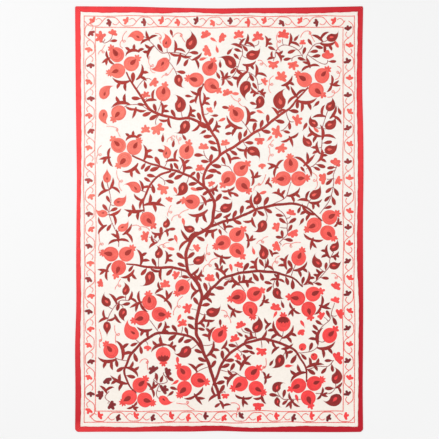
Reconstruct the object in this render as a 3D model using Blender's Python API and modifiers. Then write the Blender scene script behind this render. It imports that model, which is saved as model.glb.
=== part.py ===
"""A suzani lying flat: an embroidered cotton ground whose four edges are wrapped in a red binding.

The cloth lies in the XY plane with its top edge towards +Y and its worked face up. The origin is on the
surface that it lies on, under the middle of the cloth. All sizes are in metres unless a name says otherwise.
"""

import math

import bmesh
import bpy
from mathutils import Vector

# Driving dimensions of the cloth
CLOTH_WIDTH = 1.490
CLOTH_LENGTH = 2.200
GROUND_THICKNESS = 0.0012
LEAF_THICKNESS = 0.0009
FOLD_WALL = 0.0012
CLEARANCE = 0.0003
BINDING_HEIGHT = 2 * LEAF_THICKNESS + 2 * CLEARANCE + GROUND_THICKNESS

# The ground lies on the binding's lower leaf at its rim, then comes down to the surface
RIM_LIFT = LEAF_THICKNESS + CLEARANCE
GROUND_INSET = FOLD_WALL + CLEARANCE
RIM_WIDTH = 0.036
RIM_SLOPE = 0.020
TRIMMED_CORNER = 0.0085

# Where the cloth was folded when it was stored, its creases still stand up a little
CREASE_PITCH = 0.341
LOWEST_CREASE_Y = -0.872
CREASE_HEIGHTS = (0.0016, 0.0020, 0.0012, 0.0008, 0.0008, 0.0012)
CREASE_HALF_WIDTH = 0.016

# Spacing of the stations along the cloth, away from its creases
STATION_PITCH = 0.105

# How far each edge lies inside the straight side, in millimetres, at each tenth of the side.
# Upright sides are read from the bottom up, level ones from left to right.
EDGE_INSETS_MM = {
    "left": (0, 1.5, 0, 6, 5.5, 7, 9, 6, 3.5, 1.5, 0),
    "right": (2, 4, 2.5, 1.5, 2, 2.5, 0, 1, 6, 5.5, 2),
    "bottom": (1, 2, 2, 3, 3, 6, 2, 1, 0.5, 0, 1),
    "top": (0, 1, 2, 6, 9, 11, 9, 8, 6, 3, 0),
}

# How much of the binding shows on the worked face, in millimetres, at the same places
FACE_WIDTHS_MM = {
    "left": (28, 30, 27, 25, 24, 21, 23, 27, 28, 28, 28),
    "right": (28, 23, 24, 23, 32, 30, 30, 31, 30, 27, 28),
    "bottom": (28, 27, 24, 29, 29, 28, 22, 27, 32, 30, 28),
    "top": (28, 33, 31, 31, 23, 28, 27, 29, 32, 30, 28),
}

BOTTOM_CORNER_RADIUS = 0.020
TOP_CORNER_RADIUS = 0.008
CORNER_STEPS = 3

CREAM_COTTON = (0.86, 0.83, 0.77, 1.0)
RED_BINDING = (0.62, 0.03, 0.05, 1.0)


def smooth_between(values, share):
    """A smooth curve through evenly spaced values, read at a share of its length."""
    last = len(values) - 1
    place = min(max(share, 0.0), 1.0) * last
    index = min(int(place), last - 1)
    t = place - index
    here, after = values[index], values[index + 1]
    slope_here = (after - values[max(index - 1, 0)]) / 2
    slope_after = (values[min(index + 2, last)] - here) / 2
    return (
        (2 * t**3 - 3 * t**2 + 1) * here
        + (t**3 - 2 * t**2 + t) * slope_here
        + (3 * t**2 - 2 * t**3) * after
        + (t**3 - t**2) * slope_after
    )


def edge_inset(side, share):
    """How far a side's edge lies inside the straight side there."""
    return smooth_between(EDGE_INSETS_MM[side], share) / 1000


def face_width(side, share):
    """How wide a side's binding shows there."""
    return smooth_between(FACE_WIDTHS_MM[side], share) / 1000


def cloth_corner(upright, level):
    """Where an upright side's edge would meet a level side's, if the corner were sharp."""
    to_right, to_top = upright == "right", level == "top"
    x = CLOTH_WIDTH / 2 - edge_inset(upright, 1.0 if to_top else 0.0)
    y = CLOTH_LENGTH / 2 - edge_inset(level, 1.0 if to_right else 0.0)
    return Vector((x if to_right else -x, y if to_top else -y))


def crease_places():
    """The place along the cloth of each fold crease, from the lowest up."""
    return [LOWEST_CREASE_Y + CREASE_PITCH * index for index in range(len(CREASE_HEIGHTS))]


def crease_lift(y):
    """How far the creases lift the cloth at this place along it."""
    lift = 0.0
    for place, height in zip(crease_places(), CREASE_HEIGHTS):
        lift += height * max(0.0, 1 - abs(y - place) / CREASE_HALF_WIDTH)
    return lift


def stations(length, fixed=()):
    """Places along a side of this length: one at each rim, one at each slope's foot, and those between."""
    rim = length / 2 - RIM_WIDTH
    foot = rim - RIM_SLOPE
    marks = [-foot, *sorted(fixed), foot]
    places = [-rim, -foot]
    for low, high in zip(marks, marks[1:]):
        steps = max(1, round((high - low) / STATION_PITCH))
        places += [low + (high - low) * step / steps for step in range(1, steps + 1)]
    return [*places, rim]


def upright_stations():
    """Stations along the cloth, with three on each crease."""
    offsets = (-CREASE_HALF_WIDTH, 0, CREASE_HALF_WIDTH)
    return stations(CLOTH_LENGTH, [place + offset for place in crease_places() for offset in offsets])


def level_stations():
    """Stations across the cloth."""
    return stations(CLOTH_WIDTH)


def edge_to_edge(middle, length, low_side, high_side, share):
    """Places from one edge of the ground to the opposite one, along one line of it."""
    low = -length / 2 + edge_inset(low_side, share) + GROUND_INSET
    high = length / 2 - edge_inset(high_side, share) - GROUND_INSET
    return [low, *middle, high]


def ground_point(column, row, across, up):
    """A point on the ground's underside, by its column and row."""
    last_column, last_row = len(across) + 1, len(up) + 1
    nominal_x = [-CLOTH_WIDTH / 2, *across, CLOTH_WIDTH / 2][column]
    nominal_y = [-CLOTH_LENGTH / 2, *up, CLOTH_LENGTH / 2][row]
    x = edge_to_edge(across, CLOTH_WIDTH, "left", "right", nominal_y / CLOTH_LENGTH + 0.5)[column]
    y = edge_to_edge(up, CLOTH_LENGTH, "bottom", "top", nominal_x / CLOTH_WIDTH + 0.5)[row]
    if column in (0, last_column) and row in (0, last_row):
        trim = TRIMMED_CORNER - GROUND_INSET
        x, y = x - math.copysign(trim, x), y - math.copysign(trim, y)
    on_rim = min(column, row, last_column - column, last_row - row) <= 1
    return x, y, (RIM_LIFT if on_rim else 0.0) + crease_lift(y)


def ground_cloth():
    """The cotton ground: one sheet, with its rim raised onto the binding's lower leaf."""
    across, up = level_stations(), upright_stations()
    columns, rows = len(across) + 1, len(up) + 1
    shape = bmesh.new()
    bmesh.ops.create_grid(shape, x_segments=columns, y_segments=rows, size=0.5)
    for vert in shape.verts:
        column = round((vert.co.x + 0.5) * columns)
        row = round((vert.co.y + 0.5) * rows)
        vert.co = ground_point(column, row, across, up)
    mesh = bpy.data.meshes.new("ground_cloth")
    shape.to_mesh(mesh)
    shape.free()
    sheet = bpy.data.objects.new("ground_cloth", mesh)
    solid = sheet.modifiers.new("cloth thickness", "SOLIDIFY")
    solid.thickness = GROUND_THICKNESS
    solid.offset = 1.0
    return sheet


def binding_section(face):
    """The folded binding's outline: the distance in from its fold, and the height over the surface."""
    bend = BINDING_HEIGHT / 2
    shoulder = bend * (1 - math.sqrt(0.5))
    under_leaf = BINDING_HEIGHT - LEAF_THICKNESS
    return [
        (face, 0.0),
        (bend, 0.0),
        (shoulder, shoulder),
        (0.0, bend),
        (shoulder, BINDING_HEIGHT - shoulder),
        (bend, BINDING_HEIGHT),
        (face, BINDING_HEIGHT),
        (face, under_leaf),
        (FOLD_WALL, under_leaf),
        (FOLD_WALL, LEAF_THICKNESS),
        (face, LEAF_THICKNESS),
    ]


def half_corner(corner, onward, inward, face, radius):
    """Pairs of points from a corner's mitre towards its side: on the cloth's edge, and at the leaf's end."""
    centre = corner + (onward + inward) * radius
    inner_corner = corner + (onward + inward) * face
    pairs = []
    for step in range(CORNER_STEPS):
        turn = math.radians(45) * (1 - step / CORNER_STEPS)
        outer = centre - inward * radius * math.cos(turn) - onward * radius * math.sin(turn)
        inner = inner_corner + onward * (RIM_WIDTH - face) * step / CORNER_STEPS
        pairs.append((outer, inner))
    mitre_gap = onward * CLEARANCE / math.sqrt(2)
    pairs[0] = (pairs[0][0] + mitre_gap, pairs[0][1] + mitre_gap)
    return pairs


def binding_pairs(side):
    """Pairs of points along a binding strip, from mitre to mitre: on the cloth's edge, and at the leaf's end."""
    if side in ("left", "right"):
        along, inward = Vector((0, 1)), Vector((1 if side == "left" else -1, 0))
        corners = [cloth_corner(side, "bottom"), cloth_corner(side, "top")]
        radii = (BOTTOM_CORNER_RADIUS, TOP_CORNER_RADIUS)
        length, width, places = CLOTH_LENGTH, CLOTH_WIDTH, upright_stations()
    else:
        along, inward = Vector((1, 0)), Vector((0, 1 if side == "bottom" else -1))
        corners = [cloth_corner("left", side), cloth_corner("right", side)]
        radii = (BOTTOM_CORNER_RADIUS,) * 2 if side == "bottom" else (TOP_CORNER_RADIUS,) * 2
        length, width, places = CLOTH_WIDTH, CLOTH_LENGTH, level_stations()
    start = half_corner(corners[0], along, inward, face_width(side, 0.0), radii[0])
    end = half_corner(corners[1], -along, inward, face_width(side, 1.0), radii[1])
    middle = []
    for place in places:
        share = place / length + 0.5
        outer = along * place + inward * (edge_inset(side, share) - width / 2)
        middle.append((outer, outer + inward * face_width(side, share)))
    return [*start, *middle, *reversed(end)]


def binding_strip(side):
    """A strip of binding folded over one edge of the ground, mitred at both ends."""
    shape = bmesh.new()
    rings = []
    for outer, inner in binding_pairs(side):
        inwards = (inner - outer).normalized()
        ring = []
        for depth, height in binding_section((inner - outer).length):
            place = outer + inwards * depth
            ring.append(shape.verts.new((place.x, place.y, height + crease_lift(place.y))))
        rings.append(ring)
    for ring, following in zip(rings, rings[1:]):
        for k in range(len(ring)):
            beyond = (k + 1) % len(ring)
            shape.faces.new((ring[k], ring[beyond], following[beyond], following[k]))
    shape.faces.new(rings[0])
    shape.faces.new(rings[-1])
    bmesh.ops.recalc_face_normals(shape, faces=shape.faces)
    mesh = bpy.data.meshes.new("binding_" + side)
    shape.to_mesh(mesh)
    shape.free()
    return bpy.data.objects.new("binding_" + side, mesh)


def cloth_material(name, colour, roughness):
    """A plain matt cloth."""
    material = bpy.data.materials.new(name)
    material.use_nodes = True
    shader = material.node_tree.nodes["Principled BSDF"]
    shader.inputs["Base Color"].default_value = colour
    shader.inputs["Roughness"].default_value = roughness
    shader.inputs["Metallic"].default_value = 0.0
    return material


def main():
    """Builds the ground and its four binding strips."""
    for old in list(bpy.data.objects):
        bpy.data.objects.remove(old)
    collection = bpy.data.collections.new("suzani")
    bpy.context.scene.collection.children.link(collection)
    cotton = cloth_material("cream cotton", CREAM_COTTON, 0.9)
    red = cloth_material("red binding", RED_BINDING, 0.8)
    ground = ground_cloth()
    ground.data.materials.append(cotton)
    collection.objects.link(ground)
    for side in EDGE_INSETS_MM:
        strip = binding_strip(side)
        strip.data.materials.append(red)
        collection.objects.link(strip)


main()
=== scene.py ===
"""A suzani lying face up: cream cotton worked with a pomegranate tree and a vine border, bound in red cotton.

Lengths are in metres. Layout tables are in whole centimetres from the middle of the cloth, with +Y towards
its top edge.
"""

import itertools
import logging
import math
from dataclasses import dataclass, field
from enum import Enum
from typing import Iterable, Sequence, Union

import bpy
import numpy as np
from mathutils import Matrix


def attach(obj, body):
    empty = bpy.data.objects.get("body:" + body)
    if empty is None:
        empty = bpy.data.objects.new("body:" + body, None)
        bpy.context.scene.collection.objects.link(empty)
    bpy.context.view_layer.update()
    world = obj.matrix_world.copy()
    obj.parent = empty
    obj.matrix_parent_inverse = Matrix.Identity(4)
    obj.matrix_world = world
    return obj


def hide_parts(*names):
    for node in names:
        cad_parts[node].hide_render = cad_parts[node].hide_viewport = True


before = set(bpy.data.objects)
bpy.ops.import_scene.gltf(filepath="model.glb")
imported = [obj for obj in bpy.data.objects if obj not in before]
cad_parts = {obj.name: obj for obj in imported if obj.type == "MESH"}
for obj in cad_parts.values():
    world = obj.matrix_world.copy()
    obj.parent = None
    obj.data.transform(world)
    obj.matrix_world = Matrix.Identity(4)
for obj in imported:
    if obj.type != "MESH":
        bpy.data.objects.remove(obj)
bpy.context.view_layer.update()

LOG = logging.getLogger("suzani")
Number = Union[float, np.ndarray]

MM = 0.001
CM = 0.01

# What a place on the cloth can be worked with
WOOD = 1
MOTIF = 2

# Each motif counts its rows of stitches from its own multiple of this
MOTIF_ROWS = 32

FRUIT_RADIUS = 0.0397

# The same outline as the solids: how far each edge lies inside the straight side, at each tenth of it
EDGE_INSETS_MM = {
    "left": (0, 1.5, 0, 6, 5.5, 7, 9, 6, 3.5, 1.5, 0),
    "right": (2, 4, 2.5, 1.5, 2, 2.5, 0, 1, 6, 5.5, 2),
    "bottom": (1, 2, 2, 3, 3, 6, 2, 1, 0.5, 0, 1),
    "top": (0, 1, 2, 6, 9, 11, 9, 8, 6, 3, 0),
}
FACE_WIDTHS_MM = {
    "left": (28, 30, 27, 25, 24, 21, 23, 27, 28, 28, 28),
    "right": (28, 23, 24, 23, 32, 30, 30, 31, 30, 27, 28),
    "bottom": (28, 27, 24, 29, 29, 28, 22, 27, 32, 30, 28),
    "top": (28, 33, 31, 31, 23, 28, 27, 29, 32, 30, 28),
}

# Fruits in threes: place and the way the crown points
TRIOS = (
    ((-53, 85, 130), (-46, 80, 42), (-52, 77, 195)),
    ((-5, 78, 65), (-12, 72, 170), (-4, 69, -35)),
    ((44, 72, 140), (53, 74, 48), (50, 67, -35)),
    ((-52, 38, 130), (-44, 37, 55), (-49, 31, 225)),
    ((-56, -18, 172), (-48, -18, 45), (-52, -25, 250)),
    ((11, 26, 38), (5, 21, 228), (12, 18, -48)),
    ((37, 28, 97), (33, 21, 190), (41, 21, 5)),
    ((57, 1, 27), (49, -3, 212), (56, -7, -42)),
    ((9, -8, 42), (2, -12, 210), (9, -16, -48)),
    ((-36, -43, 97), (-40, -51, 200), (-31, -49, -5)),
    ((-41, -86, 48), (-46, -92, 218), (-39, -93, -22)),
    ((-18, -80, 130), (-11, -83, -15), (-18, -87, 233)),
    ((10, -40, 195), (18, -39, 25), (16, -46, -70)),
    ((41, -41, 172), (48, -39, 20), (46, -46, -78)),
    ((41, -86, 205), (49, -85, 25), (46, -92, -72)),
    ((17, -80, 40), (11, -85, 212), (19, -87, -32)),
)
SINGLE_FRUITS = (
    (-29, 65, 78), (-52, 55, 232), (9, 54, 130), (-17, 35, 75), (-14, 9, 172), (-37, 0, -50),
    (41, -20, 65), (-19, -35, 230), (-56, -68, 125), (0, -60, 55), (57, -60, 48),
)
CAPPED_FRUITS = ((-29, -70, -88), (33, -54, 90))
FRUIT_BUDS = ((43, -66, 70, 20), (49, -71, -60, 19))

# Paisley leaves: place, the way the tip points, the side it curls to, length in millimetres, light or not
PAISLEYS = (
    (-43, 95, 170, 1, 81, 1), (-27, 92, 90, 1, 72, 1), (-14, 92, 75, 1, 88, 0), (-30, 79, 215, -1, 100, 1),
    (-21, 71, -75, 1, 69, 0), (-20, 60, 95, 1, 88, 0), (-18, 47, 235, -1, 83, 0), (-59, 66, 55, -1, 83, 1),
    (-60, 53, -80, 1, 77, 1), (5, 82, 140, 1, 88, 0), (18, 85, 25, 1, 80, 0), (13, 67, -105, 1, 88, 0),
    (21, 60, 250, -1, 72, 0), (31, 62, 85, -1, 98, 0), (59, 94, 25, 1, 67, 0), (58, 59, 60, 1, 67, 0),
    (48, 50, 130, -1, 62, 0), (58, 49, 40, 1, 72, 0), (45, 40, 130, -1, 65, 0), (-27, 35, 95, 1, 67, 1),
    (-58, 22, 90, 0, 64, 1), (-44, 17, 150, 1, 83, 1), (-51, 9, 30, 1, 75, 1), (-61, 3, 165, -1, 62, 1),
    (-49, -4, 35, 1, 67, 1), (-19, 15, 240, -1, 80, 0), (-27, -2, 70, 1, 52, 0), (-16, -5, 160, -1, 62, 0),
    (-31, -17, 85, 1, 62, 0), (-10, -21, 35, 1, 72, 0), (-36, -31, 245, -1, 83, 0),
    (-48, -36, 85, 1, 62, 0), (18, 35, -30, -1, 78, 0), (58, 36, 25, 1, 72, 0), (4, 6, 30, 1, 72, 0),
    (20, 11, 80, 1, 67, 0), (50, 13, 45, 1, 78, 0), (22, -4, 235, -1, 75, 0), (23, -17, 100, 1, 78, 0),
    (60, -14, 50, 1, 62, 0), (50, -22, 120, -1, 72, 0), (60, -24, 15, 1, 62, 0), (-59, -42, 120, -1, 67, 0),
    (-50, -49, -95, 1, 64, 0), (-58, -56, -90, 0, 64, 0), (-46, -58, 125, -1, 103, 1),
    (-3, -48, 20, 1, 78, 0), (-18, -69, 210, -1, 83, 0), (-28, -94, -25, 1, 72, 1),
    (30, -39, -60, 1, 67, 0), (20, -55, 70, 1, 78, 0), (31, -74, 240, -1, 80, 0), (61, -81, 80, 1, 80, 0),
    (30, -86, 50, -1, 67, 0), (30, -95, -75, 1, 50, 0), (59, -94, 205, -1, 88, 0),
)

# Open flowers: place, the way each opens, its width in millimetres and its petals
FLOWERS = (
    (-61, 94, 150, 57, 5), (-55, 96, 70, 42, 4), (-34, 71, -40, 47, 4), (-38, 64, 110, 42, 5),
    (-38, 46, 90, 47, 5), (-32, 47, -70, 62, 5), (-5, 56, 60, 36, 3), (-7, 95, 110, 52, 4),
    (-6, 87, 200, 52, 4), (1, 94, -20, 47, 4), (10, 95, 95, 52, 5), (20, 94, 100, 57, 5),
    (33, 95, 80, 57, 5), (43, 91, 90, 34, 4), (28, 80, -90, 52, 5), (38, 80, -75, 52, 5),
    (32, 73, 70, 60, 5), (56, 84, 90, 57, 3), (23, 71, 40, 36, 4), (4, 65, 110, 47, 4), (40, 51, 20, 52, 5),
    (30, 45, 200, 57, 5), (21, 41, -90, 47, 4), (32, 37, -60, 52, 5), (3, 39, 100, 42, 4),
    (-8, 37, 90, 47, 4), (-10, 26, 100, 47, 4), (-4, 18, 120, 36, 4), (-29, 16, -110, 57, 5),
    (-26, 10, 60, 36, 4), (-38, -9, 170, 52, 5), (-12, -15, 30, 42, 4), (-22, -29, 150, 42, 4),
    (-5, -31, 80, 52, 4), (-28, -34, 100, 52, 5), (-61, -33, 200, 42, 4), (22, 28, -90, 36, 3),
    (60, 29, 60, 54, 4), (54, 21, 170, 52, 4), (61, 20, -30, 42, 4), (37, 3, 80, 42, 4),
    (30, -4, 170, 47, 4), (38, -7, -60, 52, 4), (30, -14, 200, 52, 4), (10, -24, 70, 42, 4),
    (60, -35, 60, 47, 4), (-16, -46, 170, 52, 5), (-19, -54, 90, 47, 5), (-37, -66, -90, 36, 3),
    (29, -46, 80, 52, 4), (60, -42, 70, 42, 4), (62, -49, 30, 47, 4), (53, -50, 150, 42, 4),
    (11, -55, 110, 47, 4), (42, -58, -60, 42, 3), (8, -62, 110, 47, 4), (22, -68, -90, 52, 5),
    (10, -71, 210, 36, 4), (61, -72, 40, 57, 4), (3, -91, -90, 36, 4), (20, -96, -90, 52, 4),
)
DARK_FLOWERS = (
    (-34, -78, 120, 47, 4), (-27, -79, 10, 47, 4), (-29, -88, 30, 47, 4), (-58, -83, -60, 42, 3),
    (-61, -91, 160, 47, 4), (-56, -96, -30, 47, 4),
)

TRUNK = (
    (0, -93), (-1, -88), (-3, -83), (-5, -76), (-8, -69), (-10, -63), (-12, -58), (-11, -48), (-9, -41),
    (-10, -36), (-11, -33), (-16, -27), (-17, -17), (-13, -9), (-5, -4), (-3, 3), (-3, 10), (-8, 17),
    (-17, 23), (-30, 27), (-39, 30), (-45, 33),
)
# Each bough runs from its tip to where it joins another, or the other way round
BOUGHS = (
    ((-48, 76), (-45, 70), (-42, 66), (-39, 61), (-35, 56), (-30, 54), (-22, 52), (-15, 52), (-8, 49),
     (-5, 46)),
    ((-8, 70), (-10, 65), (-9, 57), (-8, 53), (-5, 47), (-1, 40), (0, 33), (-6, 27), (-8, 22), (-8, 17)),
    ((46, 68), (42, 64), (36, 57), (30, 53), (24, 48), (17, 44), (10, 39), (0, 33)),
    ((-48, -23), (-41, -24), (-34, -25), (-24, -25), (-17, -27), (-13, -31), (-10, -36)),
    ((53, -1), (49, 3), (43, 7), (36, 8), (27, 7), (19, 5), (10, 1), (0, -2), (-5, -4)),
    ((43, -35), (39, -31), (31, -28), (24, -27), (17, -27), (10, -28), (3, -30), (0, -32), (-4, -36),
     (-9, -41)),
    ((-43, -90), (-47, -85), (-49, -79), (-48, -75), (-45, -69), (-39, -63), (-32, -59), (-24, -59),
     (-17, -60), (-12, -63), (-8, -69)),
    ((45, -84), (45, -78), (42, -72), (38, -67), (31, -64), (24, -62), (17, -63), (10, -66), (3, -72),
     (0, -78), (-3, -86)),
)
SLIM_BOUGHS = (
    ((-39, 4), (-39, 10), (-36, 17), (-32, 22), (-25, 25)),
)
STEMS = (
    ((-37, 93), (-34, 90), (-30, 86), (-27, 86), (-22, 86), (-18, 85), (-14, 82)),
    ((11, 93), (12, 86), (11, 83), (9, 77), (6, 73), (1, 72)),
    ((10, 77), (15, 76), (19, 73), (20, 69), (20, 65)),
    ((29, 84), (29, 86), (31, 89), (34, 90), (38, 89), (41, 87), (43, 84)),
    ((55, 92), (52, 91), (49, 90), (46, 86), (45, 83), (46, 81)),
    ((56, 56), (55, 53), (53, 46), (53, 39), (52, 32), (49, 28), (45, 26)),
    ((59, -17), (57, -21), (57, -24), (54, -28), (51, -31), (48, -33), (43, -34)),
    ((29, 6), (33, 3), (35, -1), (35, -5), (35, -8), (31, -12)),
    ((59, -45), (58, -48), (57, -52), (52, -57), (51, -65), (48, -68), (43, -69), (41, -69)),
    ((45, -78), (51, -76), (56, -76), (59, -73)),
    ((50, -90), (57, -90), (60, -87), (60, -84)),
    ((-32, -12), (-30, -9), (-29, -7), (-27, -5)),
    ((-47, -42), (-51, -42), (-54, -45), (-56, -48), (-57, -50), (-58, -53)),
    ((30, -89), (31, -91), (33, -93), (36, -93), (42, -93)),
    ((1, 28), (5, 27), (7, 24)),
    ((37, 19), (36, 16), (34, 11), (28, 8)),
    ((-3, -1), (2, -5), (4, -7)),
    ((-36, -52), (-33, -56), (-31, -59)),
    ((3, -31), (7, -31), (10, -33), (13, -37)),
    ((1, -78), (5, -79), (8, -79), (11, -81), (14, -82)),
    ((-5, -76), (-10, -78), (-14, -81)),
    ((-47, -73), (-49, -73), (-53, -72), (-55, -70)),
    ((-58, 19), (-56, 10), (-57, 3), (-54, -5), (-52, -9), (-52, -14)),
    ((52, 3), (57, 10), (59, 18), (59, 23), (61, 28)),
    ((-49, 58), (-47, 59), (-41, 59), (-36, 56)),
    ((-34, -83), (-31, -85), (-27, -84), (-28, -81)),
    ((-56, -95), (-59, -92), (-57, -89)),
    ((-55, 96), (-56, 93), (-59, 91), (-61, 92)),
)

# Sprigs: foot, the way each grows, length in millimetres and kind of growth
SPRIGS = (
    (-37, 92, 92, 50, "T"), (-34, 89, 180, 72, "L"), (-23, 87, 92, 58, "Y"), (-20, 86, 235, 60, "T"),
    (-46, 86, 78, 52, "A"), (-55, 82, 180, 60, "F"), (-44, 72, 60, 80, "L"), (-47, 71, 182, 88, "R"),
    (-46, 59, 165, 92, "L"), (-45, 58, -98, 75, "T"), (-31, 60, 135, 58, "Y"), (-29, 56, 58, 65, "L"),
    (-9, 76, 112, 68, "F"), (-10, 66, 165, 64, "T"), (-8, 59, 45, 65, "L"), (-17, 53, 70, 65, "L"),
    (-27, 51, -75, 55, "Y"), (-12, 50, -85, 60, "Y"), (-47, 41, 92, 62, "A"), (-3, 46, 30, 60, "L"),
    (11, 88, 148, 55, "Y"), (11, 89, 62, 55, "Y"), (23, 89, 85, 55, "L"), (11, 80, 5, 68, "L"),
    (16, 75, 228, 92, "L"), (19, 74, 35, 60, "Y"), (20, 66, 190, 48, "R"), (21, 66, -10, 45, "R"),
    (37, 90, 85, 58, "Y"), (53, 93, 108, 62, "Y"), (52, 91, -2, 92, "L"), (28, 84, 185, 36, "Y"),
    (30, 86, -25, 55, "R"), (47, 76, 105, 62, "F"), (55, 70, -2, 58, "F"), (30, 69, 18, 72, "L"),
    (42, 64, 132, 72, "T"), (41, 62, -5, 98, "L"), (30, 54, 130, 52, "Y"), (13, 48, 55, 95, "L"),
    (13, 47, 152, 98, "R"), (55, 52, 130, 62, "Y"), (55, 52, 38, 68, "Y"), (53, 42, 152, 80, "R"),
    (53, 41, 42, 72, "Y"), (36, 43, -60, 52, "T"), (1, 73, 5, 45, "F"), (-54, 32, 185, 54, "F"),
    (-42, 29, 218, 86, "R"), (-39, 30, 80, 78, "L"), (-57, 15, 158, 60, "Y"), (-57, 15, 60, 60, "Y"),
    (-39, 16, 95, 52, "Y"), (-39, 12, 195, 58, "Y"), (-39, 7, 5, 100, "B"), (-39, 5, 200, 90, "B"),
    (-57, 2, 30, 62, "Y"), (-57, -3, 172, 60, "Y"), (-51, -8, 38, 66, "Y"), (-52, -14, 95, 60, "F"),
    (-42, -23, 92, 82, "L"), (-57, -27, 165, 60, "F"), (-44, -26, 220, 75, "R"), (-31, -26, -88, 60, "Y"),
    (-28, -23, 80, 64, "L"), (-32, -12, 190, 48, "Y"), (-28, -7, 5, 32, "Y"), (-29, -7, 185, 58, "R"),
    (-19, 30, 130, 62, "Y"), (-19, 26, 52, 98, "L"), (-6, 5, 202, 98, "R"), (-7, 7, 105, 55, "Y"),
    (-15, -11, 165, 72, "T"), (-1, -5, 228, 82, "R"), (-14, -28, 15, 52, "Y"), (5, 28, 60, 60, "Y"),
    (15, 23, 5, 48, "F"), (6, 17, -88, 46, "F"), (13, 36, -88, 56, "Y"), (32, 25, 165, 74, "F"),
    (42, 26, 12, 74, "F"), (33, 11, 118, 66, "L"), (35, 13, 22, 76, "L"), (51, 34, 170, 74, "R"),
    (52, 31, 20, 78, "L"), (45, 10, 150, 55, "Y"), (46, 9, -12, 65, "L"), (19, 5, 128, 75, "R"),
    (52, 3, 42, 74, "F"), (50, 3, 192, 84, "R"), (59, -3, 2, 40, "F"), (50, -8, -95, 58, "F"),
    (12, -11, 5, 60, "F"), (3, -17, -92, 52, "F"), (17, 1, -95, 52, "Y"), (4, -5, 55, 48, "Y"),
    (20, -25, 125, 68, "R"), (22, -25, 48, 50, "Y"), (35, -26, 108, 74, "R"), (37, -26, 8, 80, "L"),
    (57, -20, 125, 68, "R"), (57, -20, -2, 46, "L"), (54, -27, 170, 60, "L"), (44, -34, 20, 82, "L"),
    (3, -30, 108, 68, "L"), (11, -32, 20, 76, "B"), (10, -35, 165, 70, "R"), (30, -32, 80, 42, "F"),
    (0, 1, 18, 42, "Y"), (-53, -44, 100, 60, "Y"), (-46, -41, 72, 48, "Y"), (-41, -44, 172, 64, "F"),
    (-30, -44, 45, 62, "F"), (-34, -56, 182, 75, "R"), (-31, -57, 48, 60, "L"), (-58, -51, 180, 50, "Y"),
    (-56, -49, -52, 52, "Y"), (-50, -72, 98, 100, "L"), (-53, -72, 200, 92, "R"), (-48, -77, 2, 78, "R"),
    (-47, -86, 205, 90, "B"), (-38, -88, 15, 50, "F"), (-43, -96, -85, 48, "F"), (-28, -65, 180, 84, "L"),
    (-28, -65, -2, 52, "R"), (-12, -78, 125, 58, "Y"), (-13, -88, -88, 62, "F"), (-2, -91, 188, 58, "Y"),
    (-8, -42, 22, 82, "L"), (-12, -54, 15, 68, "L"), (-5, -63, 105, 75, "R"), (-6, -68, 40, 86, "L"),
    (-12, -37, 215, 64, "Y"), (-29, -37, 172, 45, "Y"), (20, -42, -8, 50, "F"), (9, -46, -105, 48, "F"),
    (50, -43, -8, 68, "F"), (40, -46, 208, 60, "F"), (20, -61, 138, 68, "L"), (21, -61, 32, 50, "Y"),
    (31, -61, 128, 88, "R"), (31, -61, 38, 84, "L"), (52, -65, 98, 86, "R"), (51, -66, 8, 94, "L"),
    (1, -67, 60, 50, "Y"), (10, -79, 62, 88, "B"), (9, -80, 222, 80, "L"), (21, -82, -8, 50, "F"),
    (14, -90, -98, 50, "F"), (31, -66, 198, 50, "Y"), (31, -67, -30, 60, "Y"), (44, -79, 188, 92, "L"),
    (46, -77, 5, 84, "B"), (40, -92, 188, 50, "F"), (51, -90, 0, 52, "F"), (60, -87, 28, 56, "Y"),
    (2, -98, 90, 46, "Y"),
)
# Tendrils: start, the way each leaves, length in millimetres, and how far it turns before and after its curl
TENDRILS = (
    (-48, 97, 225, 100, 40, 90), (-33, 96, 0, 75, -60, 60), (-24, 94, 60, 100, -70, 20),
    (-59, 90, 235, 60, 10, 60), (-36, 84, 250, 100, 50, 80), (-24, 78, 240, 80, -10, 50),
    (-56, 82, 200, 130, 50, 60), (-58, 48, 0, 100, -20, 10), (-27, 40, 80, 60, -60, -100),
    (-22, 43, 260, 45, 60, 0), (31, 97, 190, 110, 60, 60), (42, 94, 70, 120, -70, 0),
    (20, 82, 15, 60, -80, -20), (61, 79, 0, 90, -100, -60), (56, 63, 20, 85, 60, 40),
    (28, 74, 190, 100, 70, 60), (6, 64, 300, 120, 40, 40), (28, 41, 220, 50, 30, 60),
    (26, 37, 265, 70, 20, 30), (24, 23, 235, 110, -20, 70), (48, 24, 20, 100, -80, -60),
    (25, -9, 190, 70, 40, 50), (42, -12, 175, 100, 30, 60), (49, -13, 200, 80, 60, 20),
    (31, -19, 180, 110, 60, 40), (58, -28, 5, 68, -60, -50), (-53, 25, 270, 110, 30, 50),
    (-61, 38, 200, 100, 60, 40), (-25, 7, 230, 60, 40, 60), (-16, 5, 175, 110, 30, 70),
    (-62, -7, 265, 110, 20, 70), (-46, -4, 10, 110, -60, -50), (-26, -12, 200, 60, 40, 50),
    (-6, -13, 250, 90, 30, 60), (-1, -20, 190, 110, 50, 60), (-51, -31, 230, 60, 30, 40),
    (-62, -57, 250, 100, -10, 60), (-54, -55, 265, 90, 30, 30), (-19, -40, 195, 110, 50, 40),
    (-26, -46, 300, 60, -30, 0), (-41, -74, 60, 100, -90, 20), (-22, -95, 330, 100, 10, 20),
    (1, -47, 40, 90, -80, -30), (24, -72, 260, 80, -20, 60), (6, -95, 30, 110, -70, 30),
    (64, -89, 280, 90, -30, -20),
)


def linear(red: int, green: int, blue: int) -> tuple[float, float, float, float]:
    """A display colour as the linear colour that a shader takes."""
    parts = []
    for part in (red, green, blue):
        share = part / 255
        parts.append(share / 12.92 if share <= 0.04045 else ((share + 0.055) / 1.055) ** 2.4)
    return (parts[0], parts[1], parts[2], 1.0)


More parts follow.
